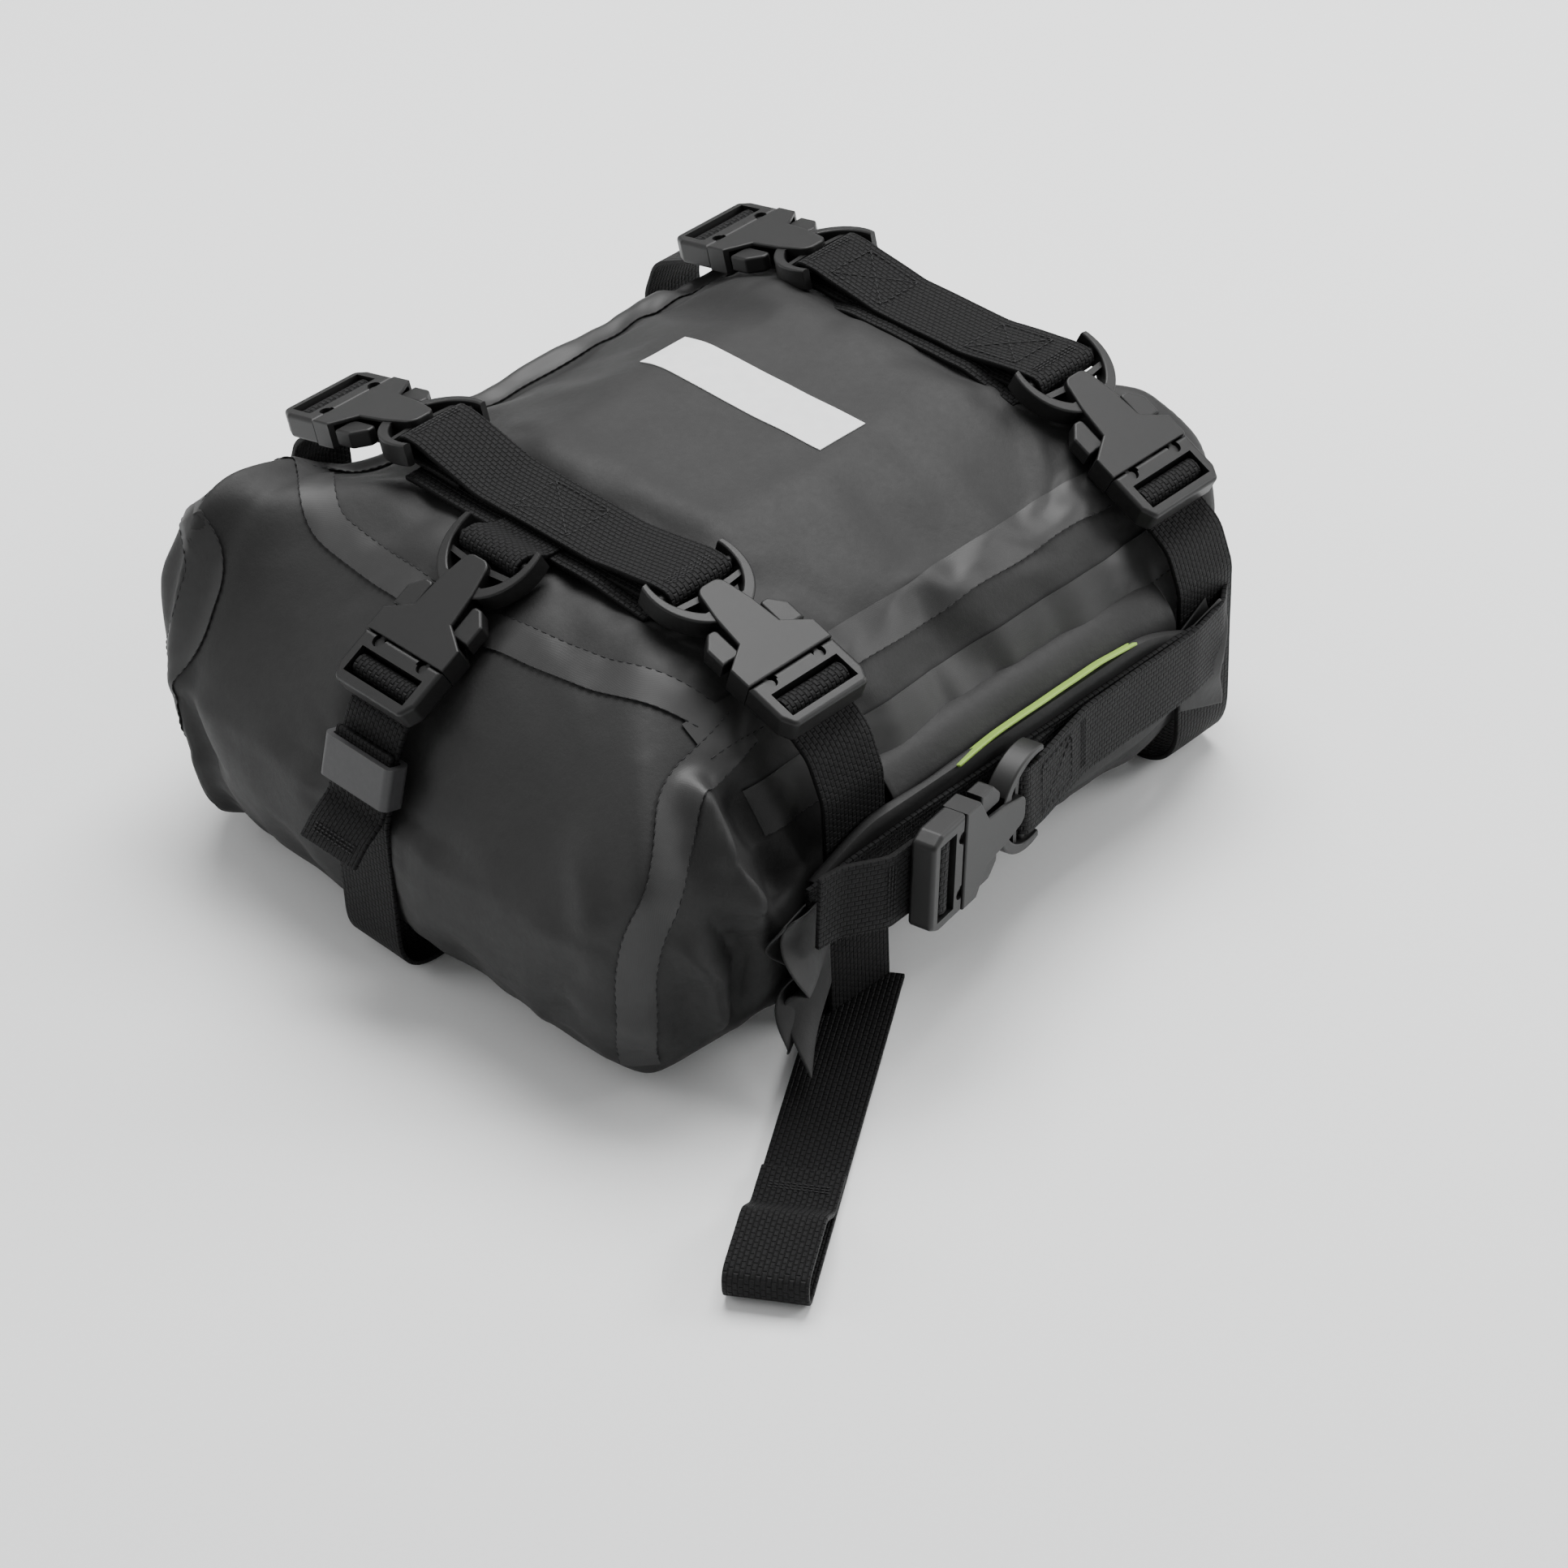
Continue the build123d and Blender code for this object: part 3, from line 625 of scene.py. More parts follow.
def pulled(p, at, reach, pull):
    """How far points move when the cloth is pulled at a place. It dies away over reach."""
    away = np.linalg.norm((p - at) / reach, axis=1)
    return np.exp(-(away**2))[:, None] * np.array(pull)


# %% Sculpting
points = points_of(shell)
normals = normals_of(shell)
x, y, z = points.T
lift = np.zeros(len(points))
for strap_y in (FRONT_STRAP_Y, REAR_STRAP_Y):
    lift += groove(y - strap_y, WEB_W / 2 + 1, *TOP_GROOVE)
on_front = np.clip((FRONT_GROOVE_Y - y) / FRONT_GROOVE_FADE, 0, 1)
lift += groove(x - CENTRE_STRAP_X, WEB_W / 2 + 1, *FRONT_GROOVE) * on_front
lift += WELD_RIDGE[0] * np.exp(-(((x - WELD_X) / WELD_RIDGE[1]) ** 2))
lift -= WELD_DIP[0] * np.exp(-(((x - WELD_X - WELD_DIP[2]) / WELD_DIP[1]) ** 2))
for route, width, height in FOLDS:
    lift += fold(points, route, width, height)
crumple = np.array([
    noise.fractal(Vector(p) / CRUMPLE_SIZE, 1.0, 2.0, 3, noise_basis="PERLIN_ORIGINAL")
    for p in points
])
lift += crumple * CRUMPLE_LIFT
lift *= np.clip((z - FLAT_BELOW) / FLAT_FADE, 0, 1)
# at the mouth the cloth may not rise through the roll and the webbing over it
clear_of_webbing = (body_high[0] + ROLL_PLAY - x) + (1 - normals[:, 0]) * SLOPE_PLAY
by_roll = (x > 0) & (y > ROLL_FROM_Y)
lift = np.where(by_roll, np.minimum(lift, clear_of_webbing), lift)
worked = points + normals * lift[:, None]
worked += pulled(points, CORNER_AT, CORNER_REACH, CORNER_PULL)
worked += pulled(points, MOUTH_AT, MOUTH_REACH, MOUTH_PULL)
worked[:, 0] += end_taper(x, z)
move_points(shell, worked)
deselect()
shell.select_set(True)
bpy.context.view_layer.objects.active = shell
bpy.ops.object.shade_smooth()
shell.data.materials.append(tarpaulin)
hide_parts(*panels)
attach(shell, "bag")
print("folds", len(FOLDS), "lift from", lift.min().round(1), "to", lift.max().round(1), "mm")

# %% [markdown]
# ## Webbing
# A strap is one flat ribbon that bends round bars and hangs down sides. A flat grid of the
# strap's true length and width is bent along its route, so its map stays in metres and the weave
# keeps one scale everywhere. Then it gets its thickness and rounded edges.

# %% Routes
ROUTE_STEP = 1.5          # between the points of a route, in millimetres
EDGE_R = 0.32             # the rounding of a strap's edges
SMOOTH_UNDER = 50         # degrees


def rounded(corners, bends):
    """Even points along straight runs joined by round bends. Places and radii in millimetres."""
    corners = [np.array(c, dtype=float) for c in corners]
    line = [corners[0]]
    for before, corner, after, radius in zip(corners, corners[1:], corners[2:], bends):
        back, on = before - corner, after - corner
        back_length, on_length = np.linalg.norm(back), np.linalg.norm(on)
        back, on = back / back_length, on / on_length
        turn = math.pi - math.acos(max(-1, min(1, float(back @ on))))
        cut = min(radius * math.tan(turn / 2), 0.499 * back_length, 0.499 * on_length)
        for t in np.linspace(0, 1, 13):
            line.append(corner + back * cut * (1 - t) ** 2 + on * cut * t**2)
    line.append(corners[-1])
    line = np.array(line)
    done = np.concatenate([[0], np.cumsum(np.linalg.norm(np.diff(line, axis=0), axis=1))])
    even = np.linspace(0, done[-1], max(3, round(done[-1] / ROUTE_STEP)))
    return np.stack([np.interp(even, done, line[:, i]) for i in range(3)], axis=1), done[-1]


class Strap:
    """A length of webbing. across is the direction of its width, side says which face is its
    outer one, and flutter is how far its surface waves, in millimetres."""

    def __init__(self, name, corners, bends, across, slot="webbing", width=WEB_W,
                 thickness=WEB_T, side=1, cloth=webbing_finish, flutter=0.25, rows=8):
        self.name = name
        self.line, self.length = rounded(corners, bends)
        self.across = np.array(across, dtype=float) / np.linalg.norm(across)
        self.thickness = thickness
        self.side = side
        tangents = np.gradient(self.line, axis=0)
        tangents /= np.linalg.norm(tangents, axis=1)[:, None]
        self.normals = np.cross(tangents, self.across) * side
        self.normals /= np.linalg.norm(self.normals, axis=1)[:, None]
        self.piece = self.bend(width, flutter, rows)
        self.piece.data.materials.append(cloth)

    def at(self, s, t=0.0, h=0.0):
        """The place s along, t across and h above the outer face, in millimetres."""
        even = np.linspace(0, self.length, len(self.line))
        middle = np.array([np.interp(s, even, self.line[:, i]) for i in range(3)])
        normal = np.array([np.interp(s, even, self.normals[:, i]) for i in range(3)])
        return middle + self.across * t + normal * (self.thickness / 2 + h)

    def bend(self, width, flutter, rows):
        """The flat grid bent along the route, with its thickness."""
        count = len(self.line)
        strip, flat = flat_grid(self.name, count - 1, rows)
        column = np.clip(np.rint(flat[:, 0] * (count - 1)).astype(int), 0, count - 1)
        across = (flat[:, 1] - 0.5) * width
        wave = np.array([
            noise.noise(Vector((s * self.length / 17, t * width / 20, len(self.name))))
            for s, t in flat
        ])
        place = self.line[column] + across[:, None] * self.across
        move_points(strip, place + self.normals[column] * (wave * flutter)[:, None])
        chart = strip.data.uv_layers[0]
        chart.name = "flat"
        coords = np.empty(len(chart.data) * 2)
        chart.data.foreach_get("uv", coords)
        coords = coords.reshape(-1, 2) * (self.length * MM, width * MM)
        chart.data.foreach_set("uv", coords.ravel())
        thicken(strip, self.thickness)
        edge = strip.modifiers.new("soft_edge", "BEVEL")
        edge.width = EDGE_R * MM
        edge.segments = 2
        edge.limit_method = "ANGLE"
        edge.angle_limit = math.radians(60)
        apply_and_smooth(strip, SMOOTH_UNDER)
        return strip


# %% [markdown]
# ### Stitching
# Straps are joined by boxes of lock stitch with a cross in them, and hems by rows of it. One
# stitch is a few faces: a short thread, thicker in its middle. It is copied along each row.

# %% One stitch, copied along rows
STITCH_PITCH = 2.9
STITCH_LENGTH = 2.3
STITCH_THICK = 0.55
SEAM_HALF = 9.0           # from a strap's middle to the stitches near its edges
TACK_ROWS = 3
TACK_GAP = 1.1
TACK_STITCH = {"pitch": 1.7, "length": 1.5}
deselect()
bpy.ops.mesh.primitive_uv_sphere_add(segments=6, ring_count=5, radius=0.5)
one_stitch = bpy.context.object
stitch_points = points_of(one_stitch) * MM
stitch_faces = [list(f.vertices) for f in one_stitch.data.polygons]
bpy.data.objects.remove(one_stitch)
stitch_rows = {}


def sew(name, row, out, pitch=STITCH_PITCH, length=STITCH_LENGTH, thick=STITCH_THICK):
    """Stitches along a row of places, in millimetres. out points away from the cloth."""
    row = np.array(row, dtype=float)
    out = np.broadcast_to(np.array(out, dtype=float), row.shape)
    done = np.concatenate([[0], np.cumsum(np.linalg.norm(np.diff(row, axis=0), axis=1))])
    for s in np.arange(pitch / 2, done[-1], pitch):
        a, b = [
            np.array([np.interp(s + e, done, row[:, i]) for i in range(3)])
            for e in (-length / 2, length / 2)
        ]
        along = (b - a) / max(np.linalg.norm(b - a), 1e-6)
        up = np.array([np.interp(s, done, out[:, i]) for i in range(3)])
        side = np.cross(up, along)
        side /= max(np.linalg.norm(side), 1e-6)
        up = np.cross(along, side)
        turn = np.stack([along * length, side * thick, up * thick])
        stitch_rows.setdefault(name, []).append((a + b) / 2 + stitch_points @ turn)


def sew_on(name, strap, flat_row, **settings):
    """A row given as places along and across a strap."""
    dense = []
    for (s0, t0), (s1, t1) in zip(flat_row, flat_row[1:]):
        steps = max(2, int(math.hypot(s1 - s0, t1 - t0)))
        dense += [(s0 + (s1 - s0) * k / steps, t0 + (t1 - t0) * k / steps) for k in range(steps)]
    dense.append(flat_row[-1])
    places = [strap.at(s, t, 0.1) for s, t in dense]
    outs = [strap.at(s, t, 1.0) - strap.at(s, t, 0.0) for s, t in dense]
    sew(name, places, outs, **settings)


def box_with_cross(name, strap, s0, s1):
    """The box and cross that fasten one strap to another."""
    half = SEAM_HALF
    sew_on(name, strap, [(s0, -half), (s1, -half), (s1, half), (s0, half), (s0, -half)])
    sew_on(name, strap, [(s0, -half), (s1, half)])
    sew_on(name, strap, [(s0, half), (s1, -half)])


def bar_tack(name, strap, s):
    """Close rows across the strap."""
    for k in range(TACK_ROWS):
        row_s = s + k * TACK_GAP
        sew_on(name, strap, [(row_s, -SEAM_HALF), (row_s, SEAM_HALF)], **TACK_STITCH)


# %% [markdown]
# ### Straps over the top
# Two straps cross the bag. Each is sewn round the bar of a buckle's ring at both ends, with its
# end folded back under it, and lies on a second strap that is sewn to the bag. Every route goes
# round its bars at half the strap's thickness and a little play, so nothing cuts into the ring.

# %% Straps over the top
PLAY = 0.3                # between a strap and the bar that it goes round
RING_BAR_R = 1.9
RING_WRAP = RING_BAR_R + PLAY + WEB_T / 2
LAYER = WEB_T + 0.35      # from one strap to the strap that lies on it
FOLDED_BACK = 24          # how far a sewn end runs back under its strap
UNDER_ASIDE = 4           # the lower strap lies this far towards the rider
RING_RUN = 5              # how far a strap runs straight past its ring
CROWN_RUN = 32            # from a ring to where the strap lies flat on top
top_z = float(body_high[2])


def ring_bar(name):
    """The middle of the bar that the harness is sewn round, in millimetres."""
    return buckles[name].in_mm(BAR_U, 0)


def bow(low, high, crown_z):
    """The strap from one ring bar over the top to the other, folded back under at both ends."""
    wrap = RING_WRAP
    y = low[1]
    places = [
        (low[0] + FOLDED_BACK, low[2] - wrap - 1), (low[0] - wrap, low[2] - wrap),
        (low[0] - wrap, low[2] + wrap), (low[0] + RING_RUN, low[2] + wrap),
        (low[0] + CROWN_RUN, crown_z + 1), (high[0] - CROWN_RUN, crown_z + 1),
        (high[0] - RING_RUN, high[2] + wrap), (high[0] + wrap, high[2] + wrap),
        (high[0] + wrap, high[2] - wrap), (high[0] - FOLDED_BACK, high[2] - wrap - 1),
    ]
    return [(px, y, pz) for px, pz in places], [wrap, wrap, 24, 30, 30, 24, wrap, wrap]


top_straps = {}
for place, left, right, crown in (
    ("front", "front_left", "front_right", top_z + 2 * LAYER + 1.4),
    ("rear", "rear_left", "rear_right", top_z + LAYER + 1.4),
):
    low, high = ring_bar(right), ring_bar(left)
    corners, bends = bow(low, high, crown)
    upper = Strap(f"{place}_strap_over", corners, bends, (0, 1, 0), side=1)
    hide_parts(f"{place}_strap_upper")
    under_z = top_z + 1.5
    under_y = low[1] - UNDER_ASIDE
    under = Strap(
        f"{place}_strap_under",
        [(low[0] + 4, under_y, low[2] - 7.0), (low[0] + 26, under_y, under_z + 1.2),
         (high[0] - 26, under_y, under_z + 1.2), (high[0] - 4, under_y, high[2] - 7.0)],
        [24, 24], (0, 1, 0), width=WEB_W + 1.0, side=1, flutter=0.6,
    )
    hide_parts(f"{place}_strap_lower")
    for strap in (upper, under):
        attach(strap.piece, "bag")
        print(strap.name, round(strap.length), "mm")
    top_straps[place] = upper

# %% [markdown]
# ### Straps down the sides
# Each side strap starts under its male half, passes up through the ladder bar and back, then
# runs over the edge and down the bag to the seat.

# %% The loop round a ladder bar
LADDER_U = 56.4           # from a buckle's ring end to its ladder bar
LADDER_BAR_R = 1.8
UNDERSIDE = 4.2           # from a male half's axis to its underside
LADDER_WRAP = LADDER_BAR_R + PLAY + WEB_T / 2
UNDER_W = -(UNDERSIDE + PLAY + WEB_T / 2)
TIGHT = 1.7               # the tightest bend that the webbing makes
EDGE_DROP = 8             # the strap turns down this far below the top of its mount
SHOULDER = (5.5, 5.0)     # how far in from and above the turn the strap leaves the edge
TURN_DOWN = 9.0           # it hangs straight from this far below the turn
CLOSED_END_PLAY = 0.3
TAPERED_AT = (60.0, 34.0, 16.0)
FOOT_IN = 3.0


def male_loop(name):
    """The strap's route round a male half's ladder bar, in millimetres, and its bends."""
    flat = [
        (46.5, UNDER_W), (LADDER_U - LADDER_WRAP, UNDER_W), (LADDER_U - LADDER_WRAP, LADDER_WRAP),
        (LADDER_U + LADDER_WRAP, LADDER_WRAP), (LADDER_U + LADDER_WRAP, UNDER_W),
    ]
    places = [buckles[name].in_mm(u, w) for u, w in flat]
    return places, [TIGHT, LADDER_WRAP, LADDER_WRAP, TIGHT]


# %% The four side straps
seat_z = 1.1
straps = {}
for name in ("front_left", "front_right", "rear_left", "rear_right"):
    buckle = buckles[name]
    drop_low, drop_high = box_of(f"{name}_mount_strap")
    closed_end = buckle.u.x < 0
    side = -1 if closed_end else 1
    drop_x = (drop_low[0] if closed_end else drop_high[0]) - side * WEB_T / 2
    if closed_end:
        drop_x += CLOSED_END_PLAY
    edge_z = drop_high[2] - EDGE_DROP
    places, bends = male_loop(name)
    y = buckle.origin.y / MM
    shoulder = np.array((drop_x - side * SHOULDER[0], y, edge_z + SHOULDER[1]))
    places += [shoulder, (drop_x, y, edge_z - TURN_DOWN)]
    bends += [12.0, 14.0]
    if closed_end:
        for low_z in TAPERED_AT:
            places.append((drop_x + float(end_taper(drop_x, low_z)), y, low_z))
            bends.append(18.0)
        foot_x = drop_x + float(end_taper(drop_x, 0)) + FOOT_IN
    else:
        foot_x = drop_x
    if name == "front_left":
        places.append((foot_x, y, seat_z + WEB_T / 2 + 0.6))
    else:
        inner_x = side * (box_of("base_patch")[1][0] + 1)
        places += [(foot_x, y, seat_z), (inner_x, y, seat_z)]
        bends.append(24.0)
    strap = Strap(f"{name}_strap", places, bends, (0, 1, 0), side=-side)
    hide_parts(f"{name}_webbing", f"{name}_mount_strap")
    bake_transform(strap.piece)
    straps[name] = strap
    print(strap.name, round(strap.length), "mm of webbing shown")

# %% [markdown]
# ### Strap down the front
# The centre buckle hangs from a short link that is caught under the front strap. Its own strap
# runs down the front like the others, but its loose end comes back up through the rubber keeper,
# and that end goes wherever the male half goes.

# %% Strap down the front
buckle = buckles["front_centre"]
x0 = buckle.origin.x / MM
places, bends = male_loop("front_centre")
# the keeper sits on this straight run, just past the buckle
run_start = buckle.in_mm(73.2, -11.5)
run_end = buckle.in_mm(88.9, -27.9)
front_y = box_of("front_centre_mount_strap")[0][1] + WEB_T / 2 + 0.2
patch_y = box_of("base_patch")[0][1] - 1
places += [buckle.in_mm(65.5, UNDER_W - 0.7), run_start, run_end,
           (x0, front_y + 0.3, 42.0), (x0, front_y, 30.0), (x0, front_y, seat_z),
           (x0, patch_y, seat_z)]
bends += [4.0, 4.0, 8.0, 20.0, 20.0, 26.0]
centre = Strap("front_centre_strap", places, bends, (1, 0, 0), side=1)
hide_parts("front_centre_webbing", "front_centre_mount_strap")
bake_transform(centre.piece)

run = (run_end - run_start) / np.linalg.norm(run_end - run_start)
run_out = np.cross(run, (1, 0, 0))
run_out *= np.sign(run_out[2] - run_out[1])
tail_lift = run_out * (WEB_T + 0.5)
# the tail lies on the run, then curls away from it
tail_start = run_start + tail_lift
tail_places = [
    tail_start - run * 2, tail_start + run * 20,
    tail_start + run * 27 + run_out * 5.5, tail_start + run * 34 + run_out * 9,
]
tail = Strap("front_centre_tail", tail_places, [6, 8], (1, 0, 0), side=1)
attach(tail.piece, "front_centre_male_half")
for strap in (centre, tail):
    print(strap.name, round(strap.length), "mm")

# %% The link that the centre buckle hangs from
bar = ring_bar("front_centre")
link_z = top_z + LAYER + 1.9
link_places = [
    (x0, FRONT_STRAP_Y + 11, link_z), (x0, bar[1] + 10, link_z),
    (x0, bar[1] + 3, bar[2] + RING_WRAP), (x0, bar[1] - RING_WRAP, bar[2] + RING_WRAP),
    (x0, bar[1] - RING_WRAP, bar[2] - RING_WRAP), (x0, bar[1] + 9, bar[2] - RING_WRAP - 1),
]
link = Strap("centre_link_strap", link_places, [8, 6, RING_WRAP, RING_WRAP], (1, 0, 0), side=1)
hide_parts("centre_link")
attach(link.piece, "bag")
print(link.name, round(link.length), "mm")

# %% [markdown]
# ### Tether over the seat
# One side strap runs on past the base and away over the seat. It ends here in a sewn eye, the
# usual end for such a strap. The eye is the same ribbon: it turns up, comes back over itself and
# lies down on the strap again.

# %% Tether over the seat
tether_way = np.array((0.545, -0.838))
start_xy = np.array((straps["front_left"].line[-1][0] - 6.5, FRONT_STRAP_Y + 9))
reach = 143.0


def on_tether(s, height):
    """A place s along the tether, at a height."""
    return (*(start_xy + tether_way * s), height)


EYE_LENGTH = 26.0
EYE_HIGH = 8.0
eye_z = seat_z + WEB_T + EYE_HIGH
tether = Strap(
    "front_left_seat_strap",
    [on_tether(0, seat_z), on_tether(reach, seat_z), on_tether(reach, eye_z),
     on_tether(reach - EYE_LENGTH, eye_z), on_tether(reach - EYE_LENGTH - 10, seat_z + LAYER),
     on_tether(reach - EYE_LENGTH - 26, seat_z + LAYER)],
    [4.3, 4.3, 8, 8], (-tether_way[1], tether_way[0], 0), side=-1, flutter=0.12,
)
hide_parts("front_left_tether")
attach(tether.piece, "bag")
print("tether", round(tether.length), "mm")

# %% [markdown]
# ## The roll closure
# The open end is rolled down on a stiff strip and buckled to itself. The roll is one long sheet
# bent round a flattened spiral. Its two ends stick out past the strip as crumpled ears, and a
# band of webbing is sewn along its outside. A line of the bright lining shows along its top.

# %% The roll
CLOTH_T = 0.8
PINCH = 0.42              # how much the roll's ends narrow towards PINCH_Z
PINCH_RUN = 26.0
PINCH_Z = 48.0
LIP_SHIFT = 17.0          # the lining shows further from the rider than the measured lip
roll_low, roll_high = box_of("closure_roll")
roll_y = (roll_low[1] + roll_high[1]) / 2
roll_w = roll_high[1] - roll_low[1]
inner_x = roll_low[0] + CLOTH_T / 2 + 0.1
outer_x = roll_high[0] - CLOTH_T / 2 - 0.1
spiral = [
    (inner_x + 1.8, roll_y, 44), (inner_x + 1.8, roll_y, roll_low[2] + 1.6),
    (inner_x, roll_y, roll_low[2] + 1.6), (inner_x, roll_y, roll_high[2] - 0.6),
    (outer_x, roll_y, roll_high[2] - 0.6), (outer_x, roll_y, roll_low[2] + 1.0),
]
roll = Strap("closure_roll_cloth", spiral, [0.8, 0.8, 1.8, 1.8], (0, 1, 0), slot="tarpaulin",
             width=roll_w, thickness=CLOTH_T, side=-1, cloth=tarpaulin, flutter=0.5, rows=70)
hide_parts("closure_roll")
roll_points = points_of(roll.piece)
end_near = np.minimum(roll_points[:, 1] - roll_low[1], roll_high[1] - roll_points[:, 1])
pinch = PINCH * np.clip(1 - end_near / PINCH_RUN, 0, 1) ** 1.5
roll_points[:, 2] += (PINCH_Z - roll_points[:, 2]) * pinch
move_points(roll.piece, roll_points)

# %% The skirt between the mouth and the roll
neck_low, neck_high = box_of("closure_neck")
skirt_y = (neck_low[1] + neck_high[1]) / 2
skirt = Strap(
    "mouth_skirt",
    [(neck_low[0] - 5, skirt_y, 74), (113.5, skirt_y, 74.5), (inner_x - 0.9, skirt_y, 66),
     (inner_x - 0.9, skirt_y, 42)],
    [10, 12], (0, 1, 0), slot="tarpaulin", width=neck_high[1] - neck_low[1],
    thickness=CLOTH_T, side=-1, cloth=tarpaulin, flutter=0.7, rows=60,
)
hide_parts("closure_neck")

# %% The band along the roll
band_low, band_high = box_of("closure_band")
band_x = (band_low[0] + band_high[0]) / 2
band_z = (band_low[2] + band_high[2]) / 2
band = Strap("closure_band_webbing",
             [(band_x, band_low[1] - 6, band_z - 1.5), (band_x, band_low[1] + 30, band_z),
              (band_x, band_high[1], band_z)],
             [60], (0, 0, 1), side=1, flutter=0.3)
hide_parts("closure_band")

# %% The edge of the lining
lip_low, lip_high = box_of("lining_lip")
lip_mid = (lip_low + lip_high) / 2
lip = Strap(
    "lime_lining_edge",
    [(lip_mid[0] + 0.6, lip_low[1] + LIP_SHIFT - 4, lip_low[2] - 1.5),
     (lip_mid[0] + 0.2, lip_low[1] + LIP_SHIFT + 14, lip_low[2] + 0.6),
     (lip_mid[0], lip_high[1] + LIP_SHIFT - 12, lip_low[2] + 0.8),
     (lip_mid[0] - 0.4, lip_high[1] + LIP_SHIFT + 4, lip_low[2] - 1.2)],
    [60, 60], (0.85, 0, 0.5), slot="lining", width=4.6, thickness=0.9, side=1,
    cloth=lining, flutter=0.2, rows=3,
)
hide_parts("lining_lip")
for strap in (roll, skirt, band, lip):
    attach(strap.piece, "bag")
    print(strap.name, round(strap.length), "mm")


# %% [markdown]
# ### Crumpled ears
# The cloth is wider than the strip that it is rolled on, so two layers stick out at each end of
# the roll. A flat grid is bent into ruffles that grow towards its free edge, and then it gets its
# thickness. Two grids with different ruffles lie side by side in each ear.

# %% Crumpled ears
EAR_COLUMNS = 44
EAR_ROWS = 20


def ear(name, foot, reach, spread, swing, folds, phase):
    """One layer of the cloth that sticks out past the roll's end. Its free edge swings to and
    fro more and more, as gathered cloth does. All in millimetres."""
    piece, flat = flat_grid(name, EAR_COLUMNS, EAR_ROWS)
    a, b = flat.T
    foot, reach = np.array(foot, dtype=float), np.array(reach, dtype=float)
    aside = np.array((-reach[1], reach[0], 0)) / math.hypot(reach[0], reach[1])
    rough = np.array([noise.noise(Vector((u * 2.4, v * 1.2, phase))) for u, v in zip(a, b)])
    sway = swing * b**1.25 * (np.sin(2 * math.pi * folds * a + phase) + 0.8 * rough)
    out = b * (1 + 0.16 * np.sin(2 * math.pi * 1.4 * a + phase) + 0.2 * rough)
    tall = (a - 0.5) * spread * (0.72 + 0.38 * b)
    up = np.array((0.0, 0.0, 1.0))
    move_points(piece, foot + np.outer(out, reach) + np.outer(sway, aside) + np.outer(tall, up))
    thicken(piece, CLOTH_T)
    piece.modifiers.new("finer", "SUBSURF").levels = 1
    piece.modifiers["finer"].render_levels = 1
    apply_and_smooth(piece, 180)
    piece.data.materials.append(tarpaulin)
    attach(piece, "bag")
    return piece


EARS = [
    # a name, then the foot, reach, spread, swing, folds and phase
    ("front_roll_ear", (126.0, -68, 38), (9, -23, -3), 48, 5.5, 1.6, 2.2),
    ("front_roll_ear_inner", (123.4, -68, 38), (4, -21, -3), 46, 3.2, 2.1, 0.4),
    ("rear_roll_ear", (125.4, 90, 46), (1.5, 19, -1), 40, 2.2, 1.3, 1.0),
    ("rear_roll_ear_inner", (123.2, 90, 46), (0, 17, -1), 38, 1.6, 1.7, 2.6),
]
ears = [ear(*row) for row in EARS]
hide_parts("closure_ears")
print(len(ears), "ruffled sheets")

# %% [markdown]
# ### Webbing on the closure buckle
# The roll is held down by a buckle at its front. The male half's strap comes from the front
# corner of the bag. The socket's strap is sewn along the band and stays on the bag.

# %% Webbing on the closure buckle
closure = buckles["closure"]
places, bends = male_loop("closure")
places += [closure.in_mm(u, w) for u, w in
           ((72.0, UNDER_W - 1.2), (84.0, -15.5), (93.0, -17.5))]
bends += [9.0, 9.0]
front_link = Strap("closure_front_webbing", places, bends, closure.v, side=1)
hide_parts("closure_webbing")
link_foot = tuple(closure.at(90.0, -17.0))
link_head = tuple(closure.at(70.0, UNDER_W))
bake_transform(front_link.piece)
on_band = band_high[0] + 0.6 + WEB_T / 2
bar = ring_bar("closure")
ring_in = [closure.in_mm(u, w) for u, w in
           ((-FOLDED_BACK, -RING_WRAP + 1.1), (BAR_U + RING_WRAP, -RING_WRAP),
            (BAR_U + RING_WRAP, RING_WRAP), (-2.0, RING_WRAP))]
rear_places = ring_in + [(on_band + 0.6, 40.0, bar[2]), (on_band, 92.0, bar[2]),
                         (on_band - 3.5, 109.0, bar[2]), (on_band - 10.0, 118.0, bar[2])]
rear_link = Strap("closure_rear_webbing", rear_places,
                  [RING_WRAP, RING_WRAP, 20, 40, 30, 8], (0, 0, 1), side=1)
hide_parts("closure_webbing_rear")
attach(rear_link.piece, "bag")
for strap in (front_link, rear_link):
    print(strap.name, round(strap.length), "mm")

# %% [markdown]
# ## Welded tapes and the reflective strip
# The seams are covered by a tape that is pressed on hot and follows the cloth. So each tape is a
# thin grid whose points are dropped onto the shell and lifted just clear of it.

# %% Tapes pressed onto the shell
shell_points = points_of(shell) * MM
shell_tree = BVHTree.FromPolygons([Vector(p) for p in shell_points],
                                  [tuple(f.vertices) for f in shell.data.polygons])
TAPE_T = 0.35
TAPE_ROWS = 12
TAPE_GAP = 0.4
FILM_T = 0.3
FILM_GAP = 0.12
DROP_FROM = 14            # points fall onto the shell from this far above it


def on_shell(place, height=0.0):
    """The nearest place on the shell, lifted by height, and the direction away from it."""
    spot, normal, _, _ = shell_tree.find_nearest(Vector(place) * MM)
    if normal.dot(spot - Vector(body_middle) * MM) < 0:
        normal = -normal
    return np.array(spot) / MM + np.array(normal) * height, np.array(normal)


